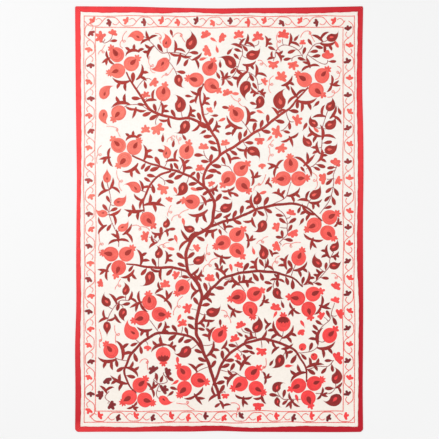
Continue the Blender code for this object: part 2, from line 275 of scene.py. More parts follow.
def bridge(t: Number, here: Number, after: Number, slope_here: Number, slope_after: Number) -> Number:
    """A cubic curve from one value to another.

    Args:
        t: the share of the way, from 0 to 1.
        here: the value at 0.
        after: the value at 1.
        slope_here: the slope at 0.
        slope_after: the slope at 1.

    Returns:
        The value at t.
    """
    return (
        (2 * t**3 - 3 * t**2 + 1) * here
        + (t**3 - 2 * t**2 + t) * slope_here
        + (3 * t**2 - 2 * t**3) * after
        + (t**3 - t**2) * slope_after
    )


def smooth_between(values: Sequence[float], share: float) -> float:
    """A smooth curve through evenly spaced values, read at a share of its length."""
    last = len(values) - 1
    place = min(max(share, 0.0), 1.0) * last
    index = min(int(place), last - 1)
    t = place - index
    here, after = values[index], values[index + 1]
    slope_here = (after - values[max(index - 1, 0)]) / 2
    slope_after = (values[min(index + 2, last)] - here) / 2
    return bridge(t, here, after, slope_here, slope_after)


def travelled_along(path: np.ndarray) -> np.ndarray:
    """How far along a path each of its points lies."""
    return np.concatenate([[0], np.cumsum(np.linalg.norm(np.diff(path, axis=0), axis=1))])


def line_through(points: Iterable[Sequence[float]], spacing: float) -> np.ndarray:
    """A smooth line through points, sampled evenly.

    Args:
        points: the points that the line passes, in metres.
        spacing: about how far apart its samples lie.

    Returns:
        The samples, one row each.
    """
    knots = np.array([tuple(point) for point in points], float)
    before = np.vstack([2 * knots[0] - knots[1], knots[:-1]])
    after = np.vstack([knots[1:], 2 * knots[-1] - knots[-2]])
    slopes = (after - before) / 2
    t = np.linspace(0, 1, 24, endpoint=False)[:, None]
    runs = [
        bridge(t, knots[index], knots[index + 1], slopes[index], slopes[index + 1])
        for index in range(len(knots) - 1)
    ]
    dense = np.vstack([*runs, knots[-1:]])
    travelled = travelled_along(dense)
    count = max(2, int(round(travelled[-1] / spacing)) + 1)
    even = np.linspace(0, travelled[-1], count)
    return np.stack([np.interp(even, travelled, dense[:, axis]) for axis in range(dense.shape[1])], axis=1)


def stroke(start: Sequence[float], heading: float, length: float, turn: float, count: int = 9,
           late: float = 1.6) -> np.ndarray:
    """A needle-drawn stroke that curls more and more.

    Args:
        start: where it begins.
        heading: the way it leaves, in degrees.
        length: its length in metres.
        turn: how far it has turned at its end, in degrees.
        count: how many points it has.
        late: how much of the turn comes late, 1 for an even bend.

    Returns:
        Its points, one row each.
    """
    along = (np.arange(count - 1) + 0.5) / (count - 1)
    angles = np.radians(heading + turn * along**late)
    steps = directions(angles) * length / (count - 1)
    return np.vstack([np.zeros(2), np.cumsum(steps, axis=0)]) + np.array(start[:2], float)


def directions(angles: np.ndarray) -> np.ndarray:
    """The unit step along each angle in radians, one row each."""
    return np.stack([np.cos(angles), np.sin(angles)], axis=1)


def on_cloth(x: float, y: float) -> np.ndarray:
    """A place on the cloth, read from a layout table."""
    return np.array([x, y]) * CM


def heading_of(step: np.ndarray) -> float:
    """The heading of a step, in degrees."""
    return math.degrees(math.atan2(step[1], step[0]))


def unit(step: np.ndarray) -> np.ndarray:
    """A step of length 1 the same way."""
    return step / np.linalg.norm(step)


def towards(heading: float) -> np.ndarray:
    """A step of one metre along a heading in degrees."""
    return np.array([math.cos(math.radians(heading)), math.sin(math.radians(heading))])


def sides_of(path: np.ndarray) -> np.ndarray:
    """The unit step to the left of a path at each of its points."""
    along = np.gradient(path[:, :2], axis=0)
    along /= np.maximum(np.linalg.norm(along, axis=1), 1e-9)[:, None]
    return np.stack([-along[:, 1], along[:, 0]], axis=1)


@dataclass(frozen=True)
class ClothPlan:
    """The cloth's size, its edges and how it lies."""

    width: float = 1.490
    length: float = 2.200
    cotton: float = 0.0008
    rim_lift: float = 0.0012
    rim_width: float = 0.036
    rim_slope: float = 0.020
    edge_gap: float = 0.0016
    trimmed_corner: float = 0.0095
    crease_pitch: float = 0.341
    lowest_crease: float = -0.872
    crease_heights: tuple[float, ...] = (0.0016, 0.0020, 0.0012, 0.0008, 0.0008, 0.0012)
    crease_half_width: float = 0.016
    bottom_radius: float = 0.020
    top_radius: float = 0.008
    ripple: float = 0.0005

    def edge_inset(self, side: str, share: float) -> float:
        """How far a side's edge lies inside the straight side."""
        return smooth_between(EDGE_INSETS_MM[side], share) * MM

    def face_width(self, side: str, share: float) -> float:
        """How wide a side's binding shows."""
        return smooth_between(FACE_WIDTHS_MM[side], share) * MM

    def corner(self, upright: str, level: str) -> np.ndarray:
        """Where two edges would meet if the corner between them were sharp."""
        to_right, to_top = upright == "right", level == "top"
        x = self.width / 2 - self.edge_inset(upright, 1.0 if to_top else 0.0)
        y = self.length / 2 - self.edge_inset(level, 1.0 if to_right else 0.0)
        return np.array([x if to_right else -x, y if to_top else -y])

    def crease_places(self) -> list[float]:
        """The place of each fold crease along the cloth."""
        return [self.lowest_crease + self.crease_pitch * index for index in range(len(self.crease_heights))]

    def lie(self, x: np.ndarray, y: np.ndarray) -> np.ndarray:
        """How high folds and soft ripples lift the whole cloth, rim included.

        Args:
            x: places across the cloth.
            y: places along it.

        Returns:
            The height over the surface at each place.
        """
        lift = np.zeros(np.broadcast(x, y).shape)
        for index, (place, height) in enumerate(zip(self.crease_places(), self.crease_heights)):
            drift = 0.0015 * np.sin(x * 7 + index)
            near = np.maximum(0.0, 1 - np.abs(y - place - drift) / self.crease_half_width)
            lift = lift + height * near**1.4 * (0.8 + 0.2 * np.sin(x * 9 + 2.1 * index))
        waves = (
            np.sin(x * 11 + 1.7 * np.sin(y * 5) + 0.4)
            + np.sin(y * 17 + 1.2 * np.sin(x * 7) + 2.0)
            + 0.7 * np.sin((x + y) * 29 + 1.1)
            + 0.5 * np.sin((x - y) * 41 + 0.3)
        )
        return lift + self.ripple * (waves + 3.2) / 6.4

    def underside(self, x: np.ndarray, y: np.ndarray) -> np.ndarray:
        """The height of the cotton's underside, which steps up onto the binding at its rim."""
        from_edge = np.minimum(self.width / 2 - np.abs(x), self.length / 2 - np.abs(y))
        down = np.clip((from_edge - self.rim_width) / self.rim_slope, 0.0, 1.0)
        return self.rim_lift * (1 - down * down * (3 - 2 * down)) + self.lie(x, y)

    def surface(self, x: np.ndarray, y: np.ndarray) -> np.ndarray:
        """The height of the cotton's worked face."""
        return self.underside(x, y) + self.cotton


def denser(points: np.ndarray, times: int = 3) -> np.ndarray:
    """The points with more set evenly between each and the next."""
    steps = [points[:-1] + (points[1:] - points[:-1]) * (step / times) for step in range(times)]
    return np.concatenate([*steps, points[-1:]]).reshape(-1, 2)


class ClothMap:
    """Which places on the cloth are already worked, and with wood or motifs, in small square cells."""

    def __init__(self, plan: ClothPlan, cell: float = 0.003) -> None:
        self.cell = cell
        self.half = np.array([plan.width / 2, plan.length / 2])
        self.taken = np.zeros(tuple(int(2 * side / cell) + 2 for side in self.half), np.int8)

    def cells(self, points: np.ndarray) -> tuple[np.ndarray, np.ndarray]:
        """The cell of each point, kept inside the cloth."""
        index = ((points[:, :2] + self.half) / self.cell).astype(int)
        index = np.clip(index, 1, np.array(self.taken.shape) - 2)
        return index[:, 0], index[:, 1]

    def mark(self, points: np.ndarray, kind: int = MOTIF) -> None:
        """Marks the places as worked."""
        i, j = self.cells(points)
        self.taken[i, j] = np.maximum(self.taken[i, j], kind)

    def fill_cells(self, points: np.ndarray) -> None:
        """Marks the places and the cells next to them."""
        for dx in (-1, 0, 1):
            for dy in (-1, 0, 1):
                self.mark(points + np.array([dx, dy]) * self.cell)

    def crowding(self, points: np.ndarray, kind: int = WOOD) -> float:
        """The share of the places that are worked: all work for wood, and motifs alone for motifs."""
        i, j = self.cells(points)
        return float((self.taken[i, j] >= kind).mean())

    def free(self, points: np.ndarray, near: bool = False) -> bool:
        """Whether nothing is worked at these places, nor right next to them where near is set."""
        i, j = self.cells(points)
        if not near:
            return not self.taken[i, j].any()
        return not any(self.taken[i + di, j + dj].any() for di in (-1, 0, 1) for dj in (-1, 0, 1))


class Value:
    """A number from a node, for use in Python expressions."""

    def __init__(self, paint: "Paint", socket: bpy.types.NodeSocket) -> None:
        self.paint = paint
        self.socket = socket

    def __add__(self, other: "Operand") -> "Value":
        return self.paint.math("ADD", self, other)

    def __radd__(self, other: "Operand") -> "Value":
        return self.paint.math("ADD", other, self)

    def __sub__(self, other: "Operand") -> "Value":
        return self.paint.math("SUBTRACT", self, other)

    def __rsub__(self, other: "Operand") -> "Value":
        return self.paint.math("SUBTRACT", other, self)

    def __mul__(self, other: "Operand") -> "Value":
        return self.paint.math("MULTIPLY", self, other)

    def __truediv__(self, other: "Operand") -> "Value":
        return self.paint.math("DIVIDE", self, other)

    def __abs__(self) -> "Value":
        return self.paint.math("ABSOLUTE", self)


Operand = Union[Value, float, int]


class Paint:
    """A material and the nodes behind it."""

    def __init__(self, name: str) -> None:
        self.material = bpy.data.materials.new(name)
        self.material.use_nodes = True
        self.tree = self.material.node_tree
        self.shader = self.tree.nodes["Principled BSDF"]

    def node(self, kind: str, settings: dict | None = None, inputs: dict | None = None) -> bpy.types.Node:
        """Adds a node.

        Args:
            kind: the node's type.
            settings: its own settings, such as an operation, set first.
            inputs: values or links of its sockets, by name or number.

        Returns:
            The node.
        """
        node = self.tree.nodes.new(kind)
        for key, value in (settings or {}).items():
            setattr(node, key, value)
        for key, value in (inputs or {}).items():
            self.feed(node.inputs[key], value)
        return node

    def feed(self, socket: bpy.types.NodeSocket, value: object) -> None:
        """Links or sets a socket."""
        if isinstance(value, Value):
            self.tree.links.new(value.socket, socket)
        else:
            socket.default_value = value

    def math(self, operation: str, *operands: Operand) -> Value:
        """The result of a Math node."""
        node = self.node("ShaderNodeMath", {"operation": operation}, dict(enumerate(operands)))
        return Value(self, node.outputs[0])

    def clamp(self, value: Operand, low: float = 0.0, high: float = 1.0) -> Value:
        """A number kept between two limits."""
        return self.math("MINIMUM", self.math("MAXIMUM", value, low), high)

    def place(self) -> tuple[Value, Value, Value, Value]:
        """The place on the cloth as a vector, and its three parts."""
        vector = self.node("ShaderNodeTexCoord").outputs["Object"]
        parts = self.node("ShaderNodeSeparateXYZ", inputs={0: Value(self, vector)})
        return (Value(self, vector), *(Value(self, output) for output in parts.outputs))

    def thread_place(self) -> tuple[Value, Value]:
        """The place along a row of stitches in metres, and the row's number."""
        uv = self.node("ShaderNodeUVMap", {"uv_map": "rows"}).outputs[0]
        parts = self.node("ShaderNodeSeparateXYZ", inputs={0: Value(self, uv)})
        return Value(self, parts.outputs[0]), Value(self, parts.outputs[1])

    def noise(self, vector: Value, scale: float, detail: float = 3.0, roughness: float = 0.55) -> Value:
        """Soft noise from 0 to 1."""
        inputs = {"Vector": vector, "Scale": scale, "Detail": detail, "Roughness": roughness}
        return Value(self, self.node("ShaderNodeTexNoise", inputs=inputs).outputs[0])

    def mix(self, factor: Operand, first: object, second: object) -> Value:
        """A blend of two colours."""
        settings = {"data_type": "RGBA"}
        node = self.node("ShaderNodeMix", settings, {0: factor, 6: first, 7: second})
        return Value(self, node.outputs[2])

    def scaled(self, vector: Value, scale: tuple[float, float, float]) -> Value:
        """A vector with each part scaled."""
        node = self.node("ShaderNodeVectorMath", {"operation": "MULTIPLY"}, {0: vector, 1: scale})
        return Value(self, node.outputs[0])

    def weave(self, x: Value, y: Value, pitch: float) -> Value:
        """The rise and fall of a plain weave, whose threads lie a pitch apart."""
        turn = 2 * math.pi / pitch
        return self.math("SINE", x * turn) * self.math("SINE", y * turn)

    def painted_light(self, x: Value, y: Value) -> Value:
        """How strongly painted light lightens a colour: most on the upper left, least at the lower right."""
        across = self.clamp(x / 1.49 + 0.5)
        spread = 1.1 - across * 0.5
        away = (y - 0.43) / spread
        return self.math("EXPONENT", away * away * -1.0) * (1.0 - across * 0.4)

    def relief(self, height: Operand, distance: float, strength: float = 1.0) -> Value:
        """A bumped normal."""
        inputs = {"Height": height, "Distance": distance, "Strength": strength}
        return Value(self, self.node("ShaderNodeBump", inputs=inputs).outputs[0])

    def finish(self, colour: object, normal: Value, roughness: object, sheen: float) -> bpy.types.Material:
        """Sets the surface and returns the material."""
        self.feed(self.shader.inputs["Base Color"], colour)
        self.feed(self.shader.inputs["Normal"], normal)
        self.feed(self.shader.inputs["Roughness"], roughness)
        self.shader.inputs["Sheen Weight"].default_value = sheen
        self.shader.inputs["Sheen Roughness"].default_value = 0.5
        self.shader.inputs["Specular IOR Level"].default_value = 0.25
        return self.material


@dataclass(frozen=True)
class CottonFinish:
    """Plain-woven cream cotton, whitest on the upper left, where painted light lightens it most."""

    name: str = "cream cotton"
    # The colour in painted shade at the lower right, then the colour in painted light at the upper left
    colour_in_painted_shade: tuple[float, float, float, float] = linear(240, 232, 223)
    colour_in_painted_light: tuple[float, float, float, float] = linear(239, 237, 232)
    shade: tuple[float, float, float, float] = linear(220, 208, 194)
    thread_pitch: float = 0.0009

    def material(self) -> bpy.types.Material:
        """Builds the material."""
        paint = Paint(self.name)
        vector, x, y, _ = paint.place()
        weave = paint.weave(x, y, self.thread_pitch)
        slubs = paint.noise(paint.scaled(vector, (40, 700, 1)), 1.0)
        slubs += paint.noise(paint.scaled(vector, (700, 40, 1)), 1.0)
        cockle = paint.noise(vector, 42, 2.0)
        # Painted light: whiter towards the upper left, warmer and darker towards the lower right
        colour = paint.mix(paint.painted_light(x, y), self.colour_in_painted_shade, self.colour_in_painted_light)
        mottle = paint.clamp((paint.noise(vector, 9, 4.0) - 0.5) * 0.35 + (slubs - 1.0) * 0.3 + 0.1)
        mottle = paint.clamp(mottle + (paint.noise(vector, 95, 2.0) - 0.5) * 0.5)
        colour = paint.mix(mottle, colour, self.shade)
        normal = paint.relief(weave * 0.2 + slubs * 0.5 + cockle * 5.0, 0.0004, 0.8)
        return paint.finish(colour, normal, 0.92, 0.12)


@dataclass(frozen=True)
class BindingFinish:
    """Red cotton whose turned edges show darker with painted shade, and which painted light lightens towards
    the upper left.
    """

    name: str = "red binding cotton"
    # The colour in painted shade at the lower right, then the colour in painted light at the upper left
    colour_in_painted_shade: tuple[float, float, float, float] = linear(178, 16, 35)
    colour_in_painted_light: tuple[float, float, float, float] = linear(250, 72, 74)
    shade: tuple[float, float, float, float] = linear(160, 20, 36)
    thread_pitch: float = 0.0008

    def material(self) -> bpy.types.Material:
        """Builds the material."""
        paint = Paint(self.name)
        vector, x, y, _ = paint.place()
        across = paint.thread_place()[1]
        weave = paint.weave(x, y, self.thread_pitch)
        slubs = paint.noise(paint.scaled(vector, (60, 60, 60)), 1.0, 4.0)
        streaks = paint.noise(paint.scaled(vector, (18, 18, 18)), 1.0, 2.0)
        # Painted light: the lower left end of the binding is lightened further, on top of the painted light
        # from the upper left
        painted_light_lower_left = paint.clamp(x * -1.1) * paint.clamp((y + 1.04) * -30.0)
        colour = paint.mix(paint.clamp(paint.painted_light(x, y) + painted_light_lower_left * 0.5), self.colour_in_painted_shade, self.colour_in_painted_light)
        # Painted shade: darker towards both turned edges of the strip
        edge = abs(across - 0.5) * 2.0
        turned = paint.clamp((edge - 0.45) * 1.6)
        # Painted shade on the turned edges, mixed with streaks and slubs in the dye
        dye_and_painted_shade = paint.clamp(turned * 0.32 + (streaks - 0.5) * 0.7 + (slubs - 0.5) * 0.3)
        colour = paint.mix(dye_and_painted_shade, colour, self.shade)
        normal = paint.relief(weave * 0.15 + slubs * 0.8 + streaks * 1.4, 0.0004, 0.8)
        return paint.finish(colour, normal, 0.78, 0.03)


@dataclass(frozen=True)
class ThreadFinish:
    """Stranded embroidery thread, worked in rows of chain stitch."""

    name: str
    # The colour in painted shade at the lower right, the colour in painted light at the upper left, and a
    # darker tint for painted shade and uneven dye
    colour_in_painted_shade: tuple[float, float, float, float]
    colour_in_painted_light: tuple[float, float, float, float]
    shade: tuple[float, float, float, float]
    stitch: float = 0.0042
    filled: bool = True

    def material(self) -> bpy.types.Material:
        """Builds the material."""
        paint = Paint(self.name)
        vector, x, y, _ = paint.place()
        fibres = paint.noise(paint.scaled(vector, (900, 900, 900)), 1.0, 2.0)
        # Painted light: lighter and paler towards the upper left, darker towards the lower right
        colour = paint.mix(paint.painted_light(x, y), self.colour_in_painted_shade, self.colour_in_painted_light)
        dye = paint.noise(vector, 26, 3.0)
        if self.filled:
            along, row = paint.thread_place()
            across = abs(paint.math("FRACT", row) - 0.5) * 2.0
            link = paint.math("FRACT", along / self.stitch + across * 0.35)
            # Painted shade in the gaps between the chain stitches' links and along the edges of each row
            gap = paint.clamp(1.0 - link * 5.0) + paint.clamp(across * 3.0 - 2.2)
            tone = self.tone(paint, row)
            # Painted shade in the gaps, mixed with dye that differs at random by place, row and motif
            dye_and_painted_shade = paint.clamp(gap * 0.45 + (dye - 0.45) * 0.7 + tone)
            height = (1.0 - across * across) * 0.6 + (1.0 - gap) * 0.4 + fibres * 0.3
        else:
            # Only uneven dye here, no painted shade
            dye_and_painted_shade = paint.clamp((dye - 0.4) * 0.8)
            height = fibres * 0.5
        colour = paint.mix(dye_and_painted_shade, colour, self.shade)
        normal = paint.relief(height, 0.0005, 0.9)
        return paint.finish(colour, normal, paint.clamp(0.66 + (fibres - 0.5) * 0.3), 0.1)

    def tone(self, paint: Paint, row: Value) -> Value:
        """A slightly different depth of dye in each row and in each motif."""
        depth: Operand = 0.0
        for rows, share in ((1.0, 0.28), (float(MOTIF_ROWS), 0.26)):
            whole = paint.math("FLOOR", row / rows)
            node = paint.node("ShaderNodeTexWhiteNoise", {"noise_dimensions": "1D"}, {"W": whole})
            depth = depth + Value(paint, node.outputs["Value"]) * share
        return depth - 0.10


@dataclass(frozen=True)
class FloorFinish:
    """A plain pale floor."""

    name: str = "pale floor"
    glow: float = 0.56

    def material(self) -> bpy.types.Material:
        """Builds the material."""
        paint = Paint(self.name)
        vector = paint.place()[0]
        colour = paint.mix(paint.noise(vector, 3), linear(152, 152, 152), linear(154, 154, 154))
        normal = paint.relief(paint.noise(vector, 60), 0.0002, 0.2)
        material = paint.finish(colour, normal, 0.95, 0.0)
        paint.shader.inputs["Emission Color"].default_value = (1, 1, 1, 1)
        paint.shader.inputs["Emission Strength"].default_value = self.glow
        return material


class Growth(Enum):
    """How a sprig grows: curled, tined on both sides, or as a fan, an arch, a three or a fork."""

    LEFT = "L"
    RIGHT = "R"
    BOTH = "B"
    FAN = "F"
    ARCH = "A"
    THREE = "T"
    FORK = "Y"


# How far each kind's main stroke turns. Then its tines: place on the stroke, angle, share of its length, turn
TINES = {
    Growth.LEFT: (84, ((0.28, -54, 0.46, -52), (0.54, -48, 0.38, -44))),
    Growth.RIGHT: (-84, ((0.28, 54, 0.46, 52), (0.54, 48, 0.38, 44))),
    Growth.BOTH: (-48, ((0.22, 50, 0.46, 52), (0.40, -50, 0.42, -48), (0.60, 44, 0.34, 36))),
    Growth.FAN: (12, ((0.16, 78, 0.86, 62), (0.16, -78, 0.86, -62), (0.30, 40, 0.62, 24))),
    Growth.ARCH: (118, ((0.10, -96, 0.40, -64), (0.34, -78, 0.36, -20), (0.62, -74, 0.36, 24))),
    Growth.THREE: (-24, ((0.20, 64, 0.90, 66), (0.20, -64, 0.90, -66))),
    Growth.FORK: (58, ((0.26, -62, 0.84, -66),)),
}

# Places along a sprig's main stroke or tine, and how wide it is there as a share of its full width
MAIN_SWELL = ((0, 0.12, 0.35, 0.6, 0.82, 1), (0.34, 0.62, 1.0, 0.92, 0.55, 0.05))
TINE_SWELL = ((0, 0.25, 0.5, 0.75, 1), (0.56, 0.78, 0.90, 0.66, 0.06))


class Thread(Enum):
    """The embroidery's thread colours."""

    # Each thread: name, colour in painted shade at the lower right, colour in painted light at the upper
    # left, and a darker tint for painted shade in the fillings and uneven dye
    CORAL = ThreadFinish("coral thread", linear(252, 70, 72), linear(243, 136, 117), linear(210, 42, 44))
    MAROON = ThreadFinish("maroon thread", linear(152, 41, 40), linear(190, 64, 54), linear(96, 14, 18))
    DARK = ThreadFinish("dark wine thread", linear(124, 30, 38), linear(188, 78, 74), linear(90, 16, 24))
    SALMON = ThreadFinish(
        "salmon thread", linear(236, 96, 92), linear(240, 152, 138), linear(206, 62, 60), filled=False
    )
    ROSEWOOD = ThreadFinish(
        "rosewood thread", linear(150, 52, 56), linear(182, 86, 84), linear(110, 30, 36), filled=False
    )
    COUCHING = ThreadFinish(
        "couching thread", linear(124, 30, 38), linear(188, 78, 74), linear(90, 16, 24), filled=False
    )
    SEWING = ThreadFinish(
        "sewing thread", linear(170, 24, 38), linear(214, 60, 62), linear(120, 14, 24), filled=False
    )


class Embroidery:
    """Raised fillings of one thread colour, each a closed form that is ridged along its rows of stitches."""

    row_height = 0.0009
    valley = 0.45
    tuck = -0.0003

    def __init__(self, name: str, thread: Thread, plan: ClothPlan, cloth_map: ClothMap,
                 kind: int = MOTIF) -> None:
        self.kind = kind
        self.name = name
        self.thread = thread
        self.plan = plan
        self.cloth_map = cloth_map
        self.points: list[np.ndarray] = []
        self.quads: list[np.ndarray] = []
        self.triangles: list[np.ndarray] = []
        self.quad_rows: list[np.ndarray] = []
        self.triangle_rows: list[np.ndarray] = []
        self.count = 0

    def _patch(self, places: np.ndarray, rise: np.ndarray, rows: np.ndarray, ring: bool) -> None:
        """Adds a raised patch with its underside.

        Args:
            places: grid of places on the cloth, along by across.
            rise: how high each stands over the cotton.
            rows: the place along the row and the row's number, at each point.
            ring: whether the patch closes on itself round a middle.
        """
        along, across = places.shape[:2]
        flat = places.reshape(-1, 2)
        heights = self.plan.surface(flat[:, 0], flat[:, 1]) + rise.reshape(-1)
        points = np.column_stack([flat, heights])
        index = np.arange(along * across).reshape(along, across) + self.count
        if ring:
            following = np.roll(index, -1, axis=0)
            onward = np.concatenate([rows[1:], rows[:1] + [[[rows[-1, 0, 0] + rows[1, 0, 0], 0]]]])
        else:
            index, following = index[:-1], index[1:]
            rows, onward = rows[:-1], rows[1:]
        top = np.stack([index[:, :-1], following[:, :-1], following[:, 1:], index[:, 1:]], axis=-1)
        top_rows = np.stack([rows[:, :-1], onward[:, :-1], onward[:, 1:], rows[:, 1:]], axis=-2)
        self.quads.append(top.reshape(-1, 4))
        self.quad_rows.append(top_rows.reshape(-1, 4, 2))
        if ring:
            middle = places[:, -1].mean(axis=0)
            level = self.plan.surface(middle[:1], middle[1:])[0]
            above, below = self.count + along * across, self.count + along * across + 1
            points = np.vstack([points, [*middle, level + rise[:, -1].mean()], [*middle, level - 0.0004]])
            crown = np.stack([index[:, -1], following[:, -1], np.full(along, above)], axis=-1)
            foot = np.stack([following[:, 0], index[:, 0], np.full(along, below)], axis=-1)
            self.triangles += [crown, foot]
            crown_rows = np.stack([rows[:, -1], onward[:, -1], onward[:, -1]], axis=-2)
            self.triangle_rows += [crown_rows, np.zeros((along, 3, 2))]
        else:
            foot = np.stack([index[:, 0], index[:, -1], following[:, -1], following[:, 0]], axis=-1)
            self.quads.append(foot)
            self.quad_rows.append(np.zeros((len(foot), 4, 2)))
            first, last = index[0], following[-1]
            start = np.stack([np.full(across - 2, first[0]), first[1:-1], first[2:]], axis=-1)
            end = np.stack([np.full(across - 2, last[0]), last[2:], last[1:-1]], axis=-1)
            self.triangles += [start, end]
            self.triangle_rows += [np.zeros((across - 2, 3, 2))] * 2
        self.points.append(points)
        self.count += len(points)

    def _ridge(self, lines: int) -> np.ndarray:
        """How high a filling's lines stand, crests and valleys in turn from its tucked edge."""
        ridge = np.where(np.arange(lines) % 2 == 1, 1.0, self.valley)
        ridge[0] = 0.0
        return ridge

    def _rows(self, travelled: np.ndarray, lines: int) -> np.ndarray:
        """The place along the row and the row's number, at each point of a filling."""
        numbers = np.arange(lines) / 2 + MOTIF_ROWS * (self.count % 61)
        return np.stack(np.broadcast_arrays(travelled[:, None], numbers[None, :]), axis=-1)

    def band(self, path: np.ndarray, half: np.ndarray, lift: float = 0.0,
             pitch: float = 0.0042) -> None:
        """Works rows of stitches side by side along a path.

        Args:
            path: the middle line.
            half: half the width at each of its points.
            lift: how far it stands over what lies under it.
            pitch: the width of a row.
        """
        rows = max(1, int(round(2 * half.max() / pitch)))
        lines = 2 * rows + 1
        across = np.linspace(-1, 1, lines)
        places = path[:, None, :] + sides_of(path)[:, None, :] * half[:, None, None] * across[None, :, None]
        crest = np.minimum(self.row_height, 0.9 * half / rows)[:, None]
        ridge = self._ridge(lines)
        ridge[-1] = 0.0
        rise = crest * ridge[None, :] + np.where(ridge > 0, lift, self.tuck)[None, :]
        self._patch(places, rise, self._rows(travelled_along(path), lines), ring=False)
        self.cloth_map.mark(denser(places), self.kind)

    def rounds(self, outline: np.ndarray, middle: np.ndarray, lift: float = 0.0,
               pitch: float = 0.0046) -> None:
        """Works rounds of stitches from an outline in to a middle.

        Args:
            outline: the outline, anticlockwise.
            middle: the point that the rounds close on.
            lift: how far it stands over what lies under it.
            pitch: the width of a round.
        """
        radius = float(np.linalg.norm(outline - middle, axis=1).mean())
        lines = 2 * max(2, int(round(radius / pitch)))
        shares = 1 - np.arange(lines) / lines
        places = middle + (outline[:, None, :] - middle) * shares[None, :, None]
        ridge = self._ridge(lines)
        heights = self.row_height * ridge + np.where(ridge > 0, lift, self.tuck)
        rise = np.broadcast_to(heights, places.shape[:2])
        self._patch(places, rise, self._rows(travelled_along(outline), lines), ring=True)
        self.cloth_map.mark(denser(np.concatenate([places, places[:1]])))

    def make(self) -> bpy.types.Object:
        """Turns what has been worked into one object."""
        points = np.vstack(self.points)
        quads, triangles = np.vstack(self.quads), np.vstack(self.triangles)
        mesh = bpy.data.meshes.new(self.name)
        mesh.from_pydata(points.tolist(), [], quads.tolist() + triangles.tolist())
        corners = (np.vstack(self.quad_rows), np.vstack(self.triangle_rows))
        rows = np.concatenate([part.reshape(-1) for part in corners])
        mesh.uv_layers.new(name="rows").data.foreach_set("uv", rows.astype(np.float32))
        mesh.shade_smooth()
        mesh.materials.append(self.thread.value.material())
        return shown(bpy.data.objects.new(self.name, mesh))


def shown(piece: bpy.types.Object) -> bpy.types.Object:
    """Links a piece to the scene."""
    bpy.context.scene.collection.objects.link(piece)
    return piece


def petalled(centre: np.ndarray, heading: float, lobes: Sequence[tuple[float, float]], core: float,
             half_width: float, count: int = 56) -> np.ndarray:
    """The outline of a form with round-ended lobes.

    Args:
        centre: its middle.
        heading: the way it opens, in degrees.
        lobes: each lobe's angle from the heading, and how far it reaches.
        core: the reach between the lobes.
        half_width: half the width of a lobe.
        count: how many points the outline has.

    Returns:
        The outline's points, anticlockwise.
    """
    angles = np.linspace(0, 2 * math.pi, count, endpoint=False)
    reach = np.full(count, core)
    for angle, length in lobes:
        off = (angles - math.radians(heading + angle) + math.pi) % (2 * math.pi) - math.pi
        side = half_width / np.maximum(np.abs(np.sin(off)), 0.001)
        lobe = (length**-4.0 + side**-4.0) ** -0.25
        reach = np.maximum(reach, np.where(np.abs(off) < math.pi / 2, lobe, 0.0))
    return centre + directions(angles) * reach[:, None]


def drop_width(place: np.ndarray, round_share: float = 0.36, tip: float = 0.92) -> np.ndarray:
    """Widths along a drop, at most 1.

    Args:
        place: places from its round end, 0, to its tip, 1.
        round_share: the share of its length that the round end takes.
        tip: how drawn out the tip is, less for a blunter one.

    Returns:
        The width at each place.
    """
    rounded = np.sqrt(np.maximum(0.0, 1 - ((place - round_share) / round_share) ** 2))
    left = np.clip((1 - place) / (1 - round_share), 0.0, 1.0)
    return np.where(place < round_share, rounded, (1 - np.cos(math.pi * left**tip)) / 2)


